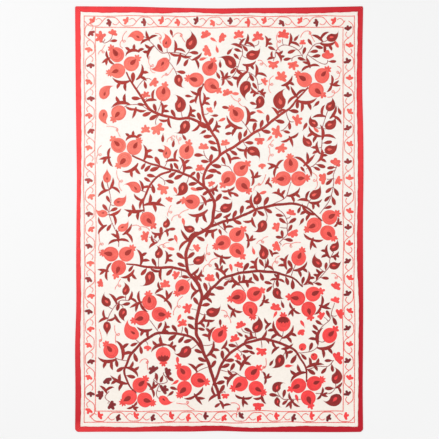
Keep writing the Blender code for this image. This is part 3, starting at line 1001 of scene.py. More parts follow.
@dataclass
class Needlework:
    """The motifs, worked in the threads that they are made of."""

    plan: ClothPlan
    cloth_map: ClothMap
    rng: np.random.Generator
    coral: Embroidery = field(init=False)
    crowns: Embroidery = field(init=False)
    blooms: Embroidery = field(init=False)
    maroon: Embroidery = field(init=False)
    seeds: Embroidery = field(init=False)
    hearts: Embroidery = field(init=False)
    boughs: Embroidery = field(init=False)
    sprigs: Embroidery = field(init=False)
    leaves: Embroidery = field(init=False)
    dark: Embroidery = field(init=False)
    over_filling: float = 0.0011
    stems: list[np.ndarray] = field(default_factory=list)
    tendrils: list[np.ndarray] = field(default_factory=list)
    couched: list[np.ndarray] = field(default_factory=list)
    woody: list[np.ndarray] = field(default_factory=list)

    def __post_init__(self) -> None:
        """Starts an empty piece for each kind of form."""
        self.coral = self._piece("coral_fruits", Thread.CORAL)
        self.crowns = self._piece("coral_crowns", Thread.CORAL)
        self.blooms = self._piece("coral_flowers", Thread.CORAL)
        self.maroon = self._piece("maroon_paisleys", Thread.MAROON)
        self.sprigs = self._piece("maroon_sprigs", Thread.MAROON)
        self.leaves = self._piece("maroon_leaves", Thread.MAROON)
        self.seeds = self._piece("maroon_seeds", Thread.MAROON)
        self.hearts = self._piece("coral_leaf_hearts", Thread.CORAL)
        self.boughs = self._piece("maroon_boughs", Thread.MAROON, WOOD)
        self.dark = self._piece("dark_flowers", Thread.DARK)

    def _piece(self, name: str, thread: Thread, kind: int = MOTIF) -> Embroidery:
        """An empty piece of embroidery on this cloth."""
        return Embroidery(name, thread, self.plan, self.cloth_map, kind)

    def drop(self, piece: Embroidery, centre: np.ndarray, heading: float, length: float, width: float,
             curl: float = 0.0, lift: float = 0.0, tip: float = 0.92) -> None:
        """Works a drop-shaped filling.

        Args:
            piece: the piece that it goes into.
            centre: its middle.
            heading: the way its tip points.
            length: its length.
            width: its greatest width.
            curl: how far its tip turns, in degrees.
            lift: how far it stands over what lies under it.
            tip: how drawn out its tip is.
        """
        count = max(9, int(length / 0.005))
        path = stroke((0, 0), heading, length, curl, count)
        path += centre - path[int(count * 0.42)]
        profile = drop_width(np.linspace(0, 1, count), tip=tip)
        piece.band(path, np.maximum(profile * width / 2, 0.0003), lift)

    def fruit(self, centre: np.ndarray, heading: float, radius: float = FRUIT_RADIUS,
              capped: bool = False) -> None:
        """Works a pomegranate: its body in rounds, its crown, and its heart in maroon.

        Args:
            centre: its middle.
            heading: the way its crown points.
            radius: its radius.
            capped: whether it has a dark cap instead of a heart.
        """
        angles = np.linspace(0, 2 * math.pi, 40, endpoint=False)
        off = angles - math.radians(heading)
        reach = radius * (1 + 0.025 * np.cos(2 * off + self.rng.uniform(-1, 1)) + 0.012 * np.sin(3 * angles))
        outline = centre + directions(angles) * reach[:, None]
        way = towards(heading)
        self.coral.rounds(outline, centre, 0.0003)
        if radius < 0.025:
            foot = centre - way * radius * 0.55
            self.drop(self.seeds, foot, heading + 180, radius * 0.8, radius * 0.5, lift=self.over_filling)
            return
        self.crown(centre + way * (radius - 0.001), heading, radius / FRUIT_RADIUS)
        if capped:
            self.cap(centre, heading, radius)
            return
        size = radius / FRUIT_RADIUS * self.rng.uniform(0.82, 1.04)
        lean = self.rng.uniform(-9, 9)
        self.drop(self.seeds, centre + way * radius * 0.22, heading + lean, 0.044 * size, 0.0255 * size,
                  lift=self.over_filling, tip=0.62)

    def crown(self, centre: np.ndarray, heading: float, size: float) -> None:
        """Works a fruit's crown of three to five points."""
        points = int(self.rng.choice([3, 3, 4, 4, 5]))
        spread, half_width = {3: (58, 0.0076), 4: (68, 0.0062), 5: (78, 0.0052)}[points]
        angles = np.linspace(-spread, spread, points) + self.rng.uniform(-5, 5, points)
        reach = self.rng.uniform(0.0245, 0.0285, points) * size * (1 - 0.16 * np.abs(angles) / spread)
        outline = petalled(centre, heading, list(zip(angles, reach)), 0.0120 * size, half_width * size, 52)
        self.crowns.rounds(outline, centre, pitch=0.0056)

    def cap(self, centre: np.ndarray, heading: float, radius: float) -> None:
        """Works a fruit's dark cap, with a jagged edge across the fruit."""
        angles = np.radians(np.arange(-66, 67, 12))
        rim = [(0.92 * math.cos(angle), 0.92 * math.sin(angle)) for angle in angles]
        teeth = [(0.26, 0.68), (0.08, 0.58), (0.26, 0.42), (0.0, 0.24), (0.24, 0.0)]
        teeth += [(u, -v) for u, v in teeth[-2::-1]]
        outward, across = towards(heading), towards(heading + 90)
        outline = np.array([centre + (outward * u + across * v) * radius for u, v in rim + teeth])
        edge = line_through([*outline, outline[0]], 0.004)[:-1]
        self.seeds.rounds(edge, centre + outward * radius * 0.5, self.over_filling)

    def paisley(self, centre: np.ndarray, heading: float, curl: int, length: float, light: bool) -> None:
        """Works a paisley leaf with a heart of the other colour."""
        width = length * self.rng.uniform(0.63, 0.70)
        bend = curl * self.rng.uniform(92, 122)
        outer, inner = (self.blooms, self.seeds) if light else (self.maroon, self.hearts)
        self.drop(outer, centre, heading - bend * 0.3, length * 1.28, width, bend, tip=1.28)
        start = centre - towards(heading - bend * 0.25) * length * 0.17
        long, wide = (0.26, 0.22) if light else (0.36, 0.29)
        self.drop(inner, start, heading - bend * 0.2, length * long, width * wide, lift=self.over_filling,
                  tip=0.7)

    def flower(self, centre: np.ndarray, heading: float, width: float, petals: int,
               dark: bool = False) -> None:
        """Works an open flower."""
        spread, share = {3: (72, 0.245), 4: (92, 0.200), 5: (112, 0.165)}[petals]
        reach = width / 2 * self.rng.uniform(1.02, 1.30, petals)
        lobes = list(zip(np.linspace(-spread, spread, petals) + self.rng.uniform(-8, 8, petals), reach))
        outline = petalled(centre, heading, lobes, width * 0.24, width * share, 60)
        (self.dark if dark else self.blooms).rounds(outline, centre, pitch=0.0052)

    def leaf(self, start: np.ndarray, heading: float, length: float, turn: float = 12.0,
             light: bool = False) -> bool:
        """Works a small leaf on its stalk, if there is room.

        Args:
            start: the foot of its stalk.
            heading: the way it grows.
            length: its length with the stalk.
            turn: how far it turns.
            light: whether it is worked in coral.

        Returns:
            Whether it was worked.
        """
        stations = np.array([0, 3, 6, 9, 12, 15, 18, 20, 22, 23, 24])
        path = stroke(start, heading, length, turn, 25)[stations]
        blade = np.clip((stations / 24 - 0.10) / 0.90, 0, 1)
        half = np.maximum(length * 0.192 * drop_width(1 - blade, 0.40, 0.66), 0.0014)
        side = sides_of(path) * (half[:, None] + 0.0012)
        # Its stalk may touch what it grows from, so only the blade is tested
        tests = np.stack([path - side, path, path + side])[:, 4:]
        if not self.cloth_map.free(np.concatenate([denser(edge) for edge in tests])):
            return False
        (self.blooms if light else self.leaves).band(path, half)
        return True

    def sprig(self, start: np.ndarray, heading: float, length: float, growth: Growth,
              crowd: float = 0.0, over: int = WOOD) -> bool:
        """Works a forked sprig, if there is room.

        Args:
            start: its foot.
            heading: the way it grows.
            length: the length of its main stroke.
            growth: how it curls and where its tines stand.
            crowd: the share of it that may lie on what is already worked.
            over: the kind of work that counts as in its way: all work for wood, and motifs alone for motifs.

        Returns:
            Whether it was worked.
        """
        turn, tines = TINES[growth]
        if growth is Growth.ARCH:
            # An arch is placed by its middle, so its stroke starts beside it
            length *= 1.45
            start = start + towards(heading - 90) * length * 0.416 - towards(heading) * length * 0.18
            heading += 90 - turn / 2
        main = stroke(start, heading, length, turn, 13, 1.15 if growth is not Growth.ARCH else 1.0)
        width = length * 0.036 + 0.0064
        horns = [(main, width * np.interp(np.linspace(0, 1, 13), *MAIN_SWELL))]
        for place, angle, share, curl in tines:
            index = int(round(place * 12))
            ahead = main[index + 1] - main[index - 1]
            own = heading_of(ahead)
            tine = stroke(main[index], own + angle, length * share, curl, 9, 1.1)
            horns.append((tine, width * np.interp(np.linspace(0, 1, 9), *TINE_SWELL)))
        # Its foot may touch what it grows from, and its tines start inside the main stroke
        tests = []
        for number, (path, half) in enumerate(horns):
            skip = 4 if number == 0 else 3
            side = sides_of(path) * half[:, None] * 0.6
            tests += [denser(edge[skip:]) for edge in (path - side, path, path + side)]
        if self.cloth_map.crowding(np.concatenate(tests), over) > crowd:
            return False
        for path, half in horns:
            self.sprigs.band(path, half)
        return True

    def nearest_wood(self, place: np.ndarray, reach: float) -> np.ndarray:
        """The nearest point of a bough or stem within reach, or else the place itself."""
        network = np.vstack(self.woody)
        away = np.linalg.norm(network - place, axis=1)
        return network[away.argmin()] if away.min() < reach else place

    def bough(self, points: Sequence[Sequence[float]], thick: float, thin: float) -> None:
        """Works a bough that tapers from its last point to its first."""
        path = line_through(np.array(points) * CM, 0.008)
        wander = 0.0012 * np.sin(np.arange(len(path)) * 0.55 + len(path))
        path = path + sides_of(path) * wander[:, None]
        swell = np.minimum(1.0, 0.15 + np.linspace(0, 1, len(path)) * 2.4)
        half = (thin + (thick - thin) * swell) / 2 * self.rng.uniform(0.93, 1.07, len(path))
        self.boughs.band(path, half, 0.0001, 0.0034)
        self.couched.append(path)
        self.woody.append(path)

    def stem(self, points: np.ndarray) -> None:
        """Lays a thin stem along these points."""
        path = line_through(points, 0.004)
        self.cloth_map.mark(path, WOOD)
        self.stems.append(path)
        self.woody.append(path)

    def stalk(self, base: np.ndarray, heading: float, reach: float = 0.11) -> bool:
        """Joins a motif to the nearest bough or stem.

        Args:
            base: where the stalk leaves the motif.
            heading: the way the motif points.
            reach: how far it looks.

        Returns:
            Whether a way was found.
        """
        network = np.vstack(self.woody)
        away = np.linalg.norm(network - base, axis=1)
        # Ten of the nearest places, so that a blocked one has others to follow
        for index in np.argsort(away)[:400:40]:
            gap = away[index]
            if gap > reach:
                break
            if gap < 0.006:
                return True
            bend = base - towards(heading) * gap * 0.45
            t = np.linspace(0, 1, max(4, int(gap / 0.006)))[:, None]
            path = (1 - t) ** 2 * base + 2 * t * (1 - t) * bend + t**2 * network[index]
            inner = path[2:-2]
            if len(inner) == 0 or self.cloth_map.free(inner, near=True):
                self.stem(path)
                return True
        return False


@dataclass
class PomegranateTree:
    """The tree that fills the field: its trunk and boughs, and what grows on them."""

    work: Needlework
    wood_tries: int = 5000
    gap_tries: int = 2000

    def grow(self) -> None:
        """Works the whole tree in order, largest forms first."""
        work = self.work
        work.bough(TRUNK[::-1], 0.0180, 0.0080)
        for points in BOUGHS:
            work.bough(points, 0.0150, 0.0072)
        for points in SLIM_BOUGHS:
            work.bough(points, 0.0122, 0.0068)
        for trio in TRIOS:
            for centre, heading in self.apart(trio):
                work.fruit(centre, heading)
        for x, y, heading in SINGLE_FRUITS:
            work.fruit(on_cloth(x, y), heading)
        for x, y, heading in CAPPED_FRUITS:
            work.fruit(on_cloth(x, y), heading, capped=True)
        for x, y, heading, radius in FRUIT_BUDS:
            work.fruit(on_cloth(x, y), heading, radius * MM)
        for x, y, heading, curl, length, light in PAISLEYS:
            work.paisley(on_cloth(x, y), heading, curl, length * MM, bool(light))
        for x, y, heading, width, petals in FLOWERS:
            work.flower(on_cloth(x, y), heading, width * MM, petals)
        for x, y, heading, width, petals in DARK_FLOWERS:
            work.flower(on_cloth(x, y), heading, width * MM, petals, dark=True)
        for points in STEMS:
            work.stem(np.array(points) * CM)
        self.stalks()
        self.sprigs()
        self.tendrils()
        self.dress()
        self.fill_wood()
        self.fill_gaps()

    def apart(self, trio: Sequence[Sequence[float]],
              across: float = 0.0800) -> list[tuple[np.ndarray, float]]:
        """The fruits of a trio, moved until they only touch."""
        places = np.array([fruit[:2] for fruit in trio], float) * CM
        for _ in range(40):
            for first, second in ((0, 1), (1, 2), (0, 2)):
                step = places[second] - places[first]
                gap = float(np.linalg.norm(step))
                push = step / gap * max(0.0, across - gap) / 2
                places[first] -= push
                places[second] += push
        return [(place, fruit[2]) for place, fruit in zip(places, trio)]

    def stalks(self) -> None:
        """Joins fruits, leaves and flowers to the boughs."""
        work = self.work
        for x, y, heading in list(SINGLE_FRUITS) + list(CAPPED_FRUITS):
            work.stalk(on_cloth(x, y) - towards(heading) * 0.041, heading, 0.13)
        for x, y, heading, _, length, _ in PAISLEYS:
            work.stalk(on_cloth(x, y) - towards(heading) * length * MM * 0.46, heading)
        for x, y, heading, width, _ in FLOWERS + DARK_FLOWERS:
            work.stalk(on_cloth(x, y) - towards(heading) * width * MM * 0.36, heading)

    def sprigs(self) -> None:
        """Works the sprigs, each moved, turned or shortened a little where its place is tight."""
        work = self.work
        steps = [np.zeros(2)]
        steps += [towards(angle) * far for far in (0.010, 0.020) for angle in range(0, 360, 45)]
        tries = list(itertools.product((0.0, 0.06, 0.14), (1.0, 0.86, 0.74), steps, (0, -14, 14, -28, 28)))
        for x, y, heading, length, kind in SPRIGS:
            growth = Growth(kind)
            for crowd, size, step, turn in tries:
                start = on_cloth(x, y) + step
                if growth not in (Growth.FAN, Growth.ARCH, Growth.THREE):
                    start = work.nearest_wood(start, 0.018)
                if work.sprig(start, heading + turn, length * MM * 1.18 * size, growth, crowd, over=MOTIF):
                    break
            else:
                LOG.info("no room for the sprig at %d, %d", x, y)

    def tendrils(self) -> None:
        """Lays the salmon tendrils."""
        for x, y, heading, length, first, second in TENDRILS:
            for size, turn in itertools.product((1.0, 0.8, 0.65), (0, -20, 20, -40, 40)):
                if self.tendril(on_cloth(x, y), heading + turn, length * MM * size, first, second):
                    break
            else:
                LOG.info("no room for the tendril at %d, %d", x, y)

    def dress(self) -> None:
        """Works leaves along both sides of each bough, then smaller ones along the thin stems."""
        for line in self.work.couched:
            self._along(line, (0.053, 0.062))
        for line in self.work.stems:
            self._along(line, (0.046, 0.056))

    def _along(self, line: np.ndarray, sizes: tuple[float, float], spacing: float = 0.044) -> None:
        """Works leaves along a line.

        Args:
            line: the line's points, tip first.
            sizes: the leaves' least and greatest length.
            spacing: how far apart they start.
        """
        rng = self.work.rng
        travelled = travelled_along(line)
        for place in np.arange(spacing * 0.5, travelled[-1], spacing):
            index = int(np.searchsorted(travelled, place))
            if index in (0, len(line)):
                continue
            ahead = line[index - 1] - line[index]
            own = heading_of(ahead)
            for side in (1, -1):
                for _ in range(4):
                    heading = own + side * rng.uniform(34, 62)
                    if self.work.leaf(line[index], heading, rng.uniform(*sizes), side * rng.uniform(-14, 18)):
                        break

    def fill_wood(self) -> None:
        """Works more leaves and sprigs where the wood is bare, fewer of them on the left."""
        work, rng = self.work, self.work.rng
        wood = np.vstack([line[1:-1] for line in work.woody])
        ahead = np.vstack([line[2:] - line[:-2] for line in work.woody])
        for _ in range(self.wood_tries):
            index = int(rng.integers(len(wood)))
            if wood[index, 0] < -0.2 and rng.random() < 0.6:
                continue
            own = heading_of(ahead[index])
            heading = own + rng.choice([-1, 1]) * rng.uniform(30, 150)
            if rng.random() < 0.35:
                growth = rng.choice([Growth.FORK, Growth.RIGHT, Growth.LEFT])
                work.sprig(wood[index], heading, rng.uniform(0.050, 0.070), growth)
            else:
                work.leaf(wood[index], heading, rng.uniform(0.044, 0.054), rng.uniform(-15, 15))

    def fill_gaps(self) -> None:
        """Works a few loose leaves and sprigs in the gaps, but none at the far left."""
        work, rng = self.work, self.work.rng
        for _ in range(self.gap_tries):
            place = rng.uniform((-0.30, -0.965), (0.615, 0.965))
            if rng.random() < 0.5:
                growth = rng.choice([Growth.FAN, Growth.THREE, Growth.FORK])
                work.sprig(place, rng.uniform(0, 360), rng.uniform(0.044, 0.058), growth)
            else:
                work.leaf(place, rng.uniform(0, 360), rng.uniform(0.040, 0.048), 10, light=rng.random() < 0.3)

    def tendril(self, place: np.ndarray, heading: float, length: float, before: float, after: float) -> bool:
        """Lays a salmon tendril with a small curl at its middle, if there is room.

        Args:
            place: where it starts.
            heading: the way it leaves.
            length: its length.
            before: how far it turns up to the curl, in degrees.
            after: how far it turns after the curl.

        Returns:
            Whether it was laid.
        """
        first = stroke(place, heading, length * 0.5, before * 1.3, 12)
        way = heading_of(first[-1] - first[-2])
        curl = stroke(first[-1], way, 0.040, math.copysign(350, before), 16)
        second = stroke(first[-1], way - math.copysign(48, after), length * 0.5, after * 1.3, 12)
        if self.work.cloth_map.crowding(np.vstack([first[1:], curl, second])) > 0.06:
            return False
        for path in (np.vstack([first, second[1:]]), curl):
            self.work.cloth_map.fill_cells(path)
            self.work.tendrils.append(line_through(path, 0.004))
        return True


@dataclass(frozen=True)
class BorderSide:
    """One side of the border, run clockwise, with its first and last flowers' places in centimetres."""

    heading: float
    first: float
    last: float
    bend: int
    colours: str


# Coral and maroon flowers in order. The vine's first bend goes inwards for -1 and outwards for 1.
BORDER_SIDES = (
    BorderSide(0, -65, 60, -1, "CMCMCCMCMCCMCMC"),
    BorderSide(-90, -98, 91, 1, "MCMCMCMCMCMCMCMCMCMCMCM"),
    BorderSide(180, -65, 62, 1, "CMCMCCMCMCCMCMC"),
    BorderSide(90, -98, 97, -1, "CMCMCCMCMCMCMCMCCMCMCMCM"),
)


@dataclass
class VineBorder:
    """The border: two ruled lines with a vine between them, and a small flower in each of its bends."""

    work: Needlework
    outer_x: float = 0.698
    inner_x: float = 0.6395
    outer_y: float = 1.0495
    inner_y: float = 0.9915
    lines: list[np.ndarray] = field(default_factory=list)
    vine: list[np.ndarray] = field(default_factory=list)

    def rule(self) -> None:
        """Draws the two ruled lines, which wander a little as hand-drawn ones do."""
        for half_x, half_y, phase in ((self.outer_x, self.outer_y, 0.0), (self.inner_x, self.inner_y, 1.9)):
            corners = [(-half_x, -half_y), (half_x, -half_y), (half_x, half_y), (-half_x, half_y)]
            for index, start in enumerate(corners):
                end = corners[(index + 1) % 4]
                path = line_through([start, end], 0.02)
                s = np.linspace(0, 1, len(path))
                wander = 0.0022 * np.sin(s * 19 + phase + index) + 0.0014 * np.sin(s * 43 + 2 * phase)
                path = path + sides_of(path) * (wander * np.sin(math.pi * s) ** 0.5)[:, None]
                self.lines.append(path)
                self.work.cloth_map.fill_cells(line_through(path, 0.003))

    def run(self, side: BorderSide) -> None:
        """Runs the vine along one side, and works a small flower in each of its bends."""
        rng = self.work.rng
        along, left = towards(side.heading), towards(side.heading + 90)
        flowers = len(side.colours)
        pitch = (side.last - side.first) * CM / (flowers - 1)
        level = self.outer_y + self.inner_y if side.heading % 180 == 0 else self.outer_x + self.inner_x
        middle = left * level / 2
        k = np.arange(-0.5, flowers - 0.4, 0.08)
        sway = 0.0235 * (np.cos(math.pi * k) - 0.13 * np.cos(3 * math.pi * k)) / 0.87 * side.bend
        sway += 0.0014 * np.sin(k * 2.3 + flowers)
        path = middle + along * (side.first * CM + k * pitch)[:, None] + left * sway[:, None]
        self.vine.append(line_through(path, 0.004))
        for index, colour in enumerate(side.colours):
            bend = side.bend * (-1) ** index
            centre = middle + along * (side.first * CM + index * pitch - 0.003 + rng.uniform(-0.003, 0.003))
            centre -= left * bend * 0.004
            way = side.heading + 180 + bend * rng.uniform(0, 36)
            piece = self.work.dark if colour == "M" else self.work.blooms
            lobes = [(angle + rng.uniform(-9, 9), rng.uniform(0.0205, 0.0245)) for angle in (-70, 0, 70)]
            piece.rounds(petalled(centre, way, lobes, 0.0085, 0.0076, 48), centre)
            hook = [(pitch / 2 + 0.003, -0.004), (0.0370, 0.0090), (0.0260, 0.0125), (0.0150, 0.0070)]
            self.vine.append(line_through([centre + along * a - left * bend * b for a, b in hook], 0.004))

    def work_all(self) -> None:
        """Works the whole border."""
        self.rule()
        for side in BORDER_SIDES:
            self.run(side)


class StitchRow:
    """Lays single stitches along lines with a node tree."""

    def __init__(self, plan: ClothPlan) -> None:
        self.plan = plan
        self.tree = bpy.data.node_groups.new("row of stitches", "GeometryNodeTree")
        self.sockets: dict[str, str] = {}
        self._wire()

    def _socket(self, name: str, kind: str, in_out: str = "INPUT") -> None:
        """Adds a named socket to the tree."""
        socket = self.tree.interface.new_socket(name=name, in_out=in_out, socket_type=kind)
        self.sockets[name] = socket.identifier

    def _wire(self) -> None:
        """Builds the tree: line, stitches on it, their unevenness, and their thread."""
        self._socket("Line", "NodeSocketGeometry")
        self._socket("Stitch Length", "NodeSocketFloat")
        self._socket("Stitch", "NodeSocketObject")
        self._socket("Unevenness", "NodeSocketFloat")
        self._socket("Thread", "NodeSocketMaterial")
        self._socket("Seed", "NodeSocketInt")
        self._socket("Stitches", "NodeSocketGeometry", "OUTPUT")
        nodes, links = self.tree.nodes, self.tree.links
        entry, leave = nodes.new("NodeGroupInput"), nodes.new("NodeGroupOutput")
        curve = nodes.new("GeometryNodeMeshToCurve")
        points = nodes.new("GeometryNodeCurveToPoints")
        points.mode = "LENGTH"
        turn = nodes.new("FunctionNodeAlignRotationToVector")
        turn.axis, turn.pivot_axis = "X", "Z"
        info = nodes.new("GeometryNodeObjectInfo")
        low = nodes.new("ShaderNodeMath")
        low.operation, low.inputs[0].default_value = "SUBTRACT", 1.0
        high = nodes.new("ShaderNodeMath")
        high.operation, high.inputs[0].default_value = "ADD", 1.0
        size = nodes.new("FunctionNodeRandomValue")
        size.data_type = "FLOAT"
        instance = nodes.new("GeometryNodeInstanceOnPoints")
        realize, dye = nodes.new("GeometryNodeRealizeInstances"), nodes.new("GeometryNodeSetMaterial")
        links.new(entry.outputs["Line"], curve.inputs[0])
        links.new(curve.outputs[0], points.inputs["Curve"])
        links.new(entry.outputs["Stitch Length"], points.inputs["Length"])
        links.new(points.outputs["Tangent"], turn.inputs["Vector"])
        links.new(entry.outputs["Stitch"], info.inputs["Object"])
        links.new(entry.outputs["Unevenness"], low.inputs[1])
        links.new(entry.outputs["Unevenness"], high.inputs[1])
        links.new(low.outputs[0], size.inputs[2])
        links.new(high.outputs[0], size.inputs[3])
        links.new(entry.outputs["Seed"], size.inputs["Seed"])
        links.new(points.outputs["Points"], instance.inputs["Points"])
        links.new(info.outputs["Geometry"], instance.inputs["Instance"])
        links.new(turn.outputs[0], instance.inputs["Rotation"])
        links.new(size.outputs[1], instance.inputs["Scale"])
        links.new(instance.outputs[0], realize.inputs[0])
        links.new(realize.outputs[0], dye.inputs["Geometry"])
        links.new(entry.outputs["Thread"], dye.inputs["Material"])
        links.new(dye.outputs[0], leave.inputs[0])

    def lay(self, name: str, paths: Sequence[np.ndarray], stitch: bpy.types.Object, length: float,
            material: bpy.types.Material, lift: float = 0.0) -> bpy.types.Object:
        """Lays a stitch every so often along each path.

        Args:
            name: the piece's name.
            paths: the lines, on the cloth or in space.
            stitch: the form of one stitch.
            length: how far apart they start.
            material: their thread.
            lift: how far they stand over the cotton.

        Returns:
            The piece, as a plain mesh.
        """
        points: list[np.ndarray] = []
        edges: list[tuple[int, int]] = []
        count = 0
        for path in paths:
            if path.shape[1] == 2:
                path = np.column_stack([path, self.plan.surface(path[:, 0], path[:, 1]) + lift])
            points.append(path)
            edges += [(count + index, count + index + 1) for index in range(len(path) - 1)]
            count += len(path)
        guide_mesh = bpy.data.meshes.new(name + " guide")
        guide_mesh.from_pydata(np.vstack(points).tolist(), edges, [])
        guide = shown(bpy.data.objects.new(name + " guide", guide_mesh))
        modifier = guide.modifiers.new("stitches", "NODES")
        modifier.node_group = self.tree
        for key, value in (("Stitch Length", length), ("Stitch", stitch), ("Unevenness", 0.12),
                           ("Thread", material), ("Seed", 7)):
            modifier[self.sockets[key]] = value
        bpy.context.view_layer.update()
        evaluated = guide.evaluated_get(bpy.context.evaluated_depsgraph_get())
        mesh = bpy.data.meshes.new_from_object(evaluated)
        bpy.data.objects.remove(guide)
        bpy.data.meshes.remove(guide_mesh)
        mesh.name = name
        mesh.shade_smooth()
        return shown(bpy.data.objects.new(name, mesh))


def single_stitch(name: str, length: float, width: float, height: float, slant: float = 0.0,
                  hollow: float = 0.45) -> bpy.types.Object:
    """One stitch: a low almond with a dip along its middle, where a chain stitch's loop is open.

    Args:
        name: its name.
        length: its length.
        width: its width.
        height: how high it stands.
        slant: how far it is turned from the line, in degrees.
        hollow: how deep the dip is, as a share of the height.

    Returns:
        The form, hidden, for the node tree to copy.
    """
    around = [(0.5, 0.0), (0.22, 0.5), (-0.25, 0.42), (-0.5, 0.0), (-0.25, -0.42), (0.22, -0.5)]
    turn = math.radians(slant)
    cos, sin = math.cos(turn), math.sin(turn)
    points = []
    for share, z in ((1.0, -0.0002), (0.72, height)):
        for u, v in around:
            x, y = u * length * share, v * width * share
            points.append((x * cos - y * sin, x * sin + y * cos, z))
    points.append((0.0, 0.0, height * (1 - hollow)))
    faces = [(k, (k + 1) % 6, 6 + (k + 1) % 6, 6 + k) for k in range(6)]
    faces += [(6 + k, 6 + (k + 1) % 6, 12) for k in range(6)]
    faces.append((5, 4, 3, 2, 1, 0))
    mesh = bpy.data.meshes.new(name)
    mesh.from_pydata(points, [], faces)
    stitch = shown(bpy.data.objects.new(name, mesh))
    stitch.hide_render = True
    return stitch


@dataclass
class Ground:
    """The cotton ground as one closed sheet."""

    plan: ClothPlan
    cell: float = 0.0105

    def places(self, length: float, extras: Iterable[float] = ()) -> np.ndarray:
        """Places between the two edges, closer together at the rims and the creases."""
        half = length / 2
        inner = half - self.plan.rim_width
        even = np.linspace(-inner, inner, int(round(2 * inner / self.cell)) + 1)
        marks = np.array(sorted(extras))
        if len(marks):
            even = even[np.abs(even[:, None] - marks[None, :]).min(axis=1) > 0.003]
        return np.sort(np.concatenate([even, marks]))

    def make(self) -> bpy.types.Object:
        """Builds the sheet: its worked face, its underside and its raw edge."""
        plan = self.plan
        offsets = (-0.012, -0.007, -0.0035, 0.0, 0.0035, 0.007, 0.012)
        marks = [place + offset for place in plan.crease_places() for offset in offsets]
        up = self.places(plan.length, marks)
        across = self.places(plan.width)
        xs = np.concatenate([[-plan.width / 2], across, [plan.width / 2]])
        ys = np.concatenate([[-plan.length / 2], up, [plan.length / 2]])
        x, y = np.meshgrid(xs, ys)
        for row, place in enumerate(ys):
            share = place / plan.length + 0.5
            x[row, 0] += plan.edge_inset("left", share) + plan.edge_gap
            x[row, -1] -= plan.edge_inset("right", share) + plan.edge_gap
        for column, place in enumerate(xs):
            share = place / plan.width + 0.5
            y[0, column] += plan.edge_inset("bottom", share) + plan.edge_gap
            y[-1, column] -= plan.edge_inset("top", share) + plan.edge_gap
        for row in (0, -1):
            for column in (0, -1):
                x[row, column] -= math.copysign(plan.trimmed_corner, x[row, column])
                y[row, column] -= math.copysign(plan.trimmed_corner, y[row, column])
        below = plan.underside(x, y)
        rows, columns = x.shape
        under = np.column_stack([x.ravel(), y.ravel(), below.ravel()])
        top = under + np.array([0, 0, plan.cotton])
        index = np.arange(rows * columns).reshape(rows, columns)
        cells = np.stack([index[:-1, :-1], index[:-1, 1:], index[1:, 1:], index[1:, :-1]], axis=-1)
        cells = cells.reshape(-1, 4)
        rim = np.concatenate([index[0, :-1], index[:-1, -1], index[-1, :0:-1], index[:0:-1, 0]])
        onward = np.roll(rim, -1)
        count = rows * columns
        skirt = np.stack([rim, onward, onward + count, rim + count], axis=-1)
        faces = np.vstack([cells[:, ::-1], cells + count, skirt])
        mesh = bpy.data.meshes.new("cotton_ground")
        mesh.from_pydata(np.vstack([under, top]).tolist(), [], faces.tolist())
        mesh.shade_smooth()
        mesh.materials.append(CottonFinish().material())
        piece = shown(bpy.data.objects.new("cotton_ground", mesh))
        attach(piece, "root")
        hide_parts("ground_cloth")
        return piece


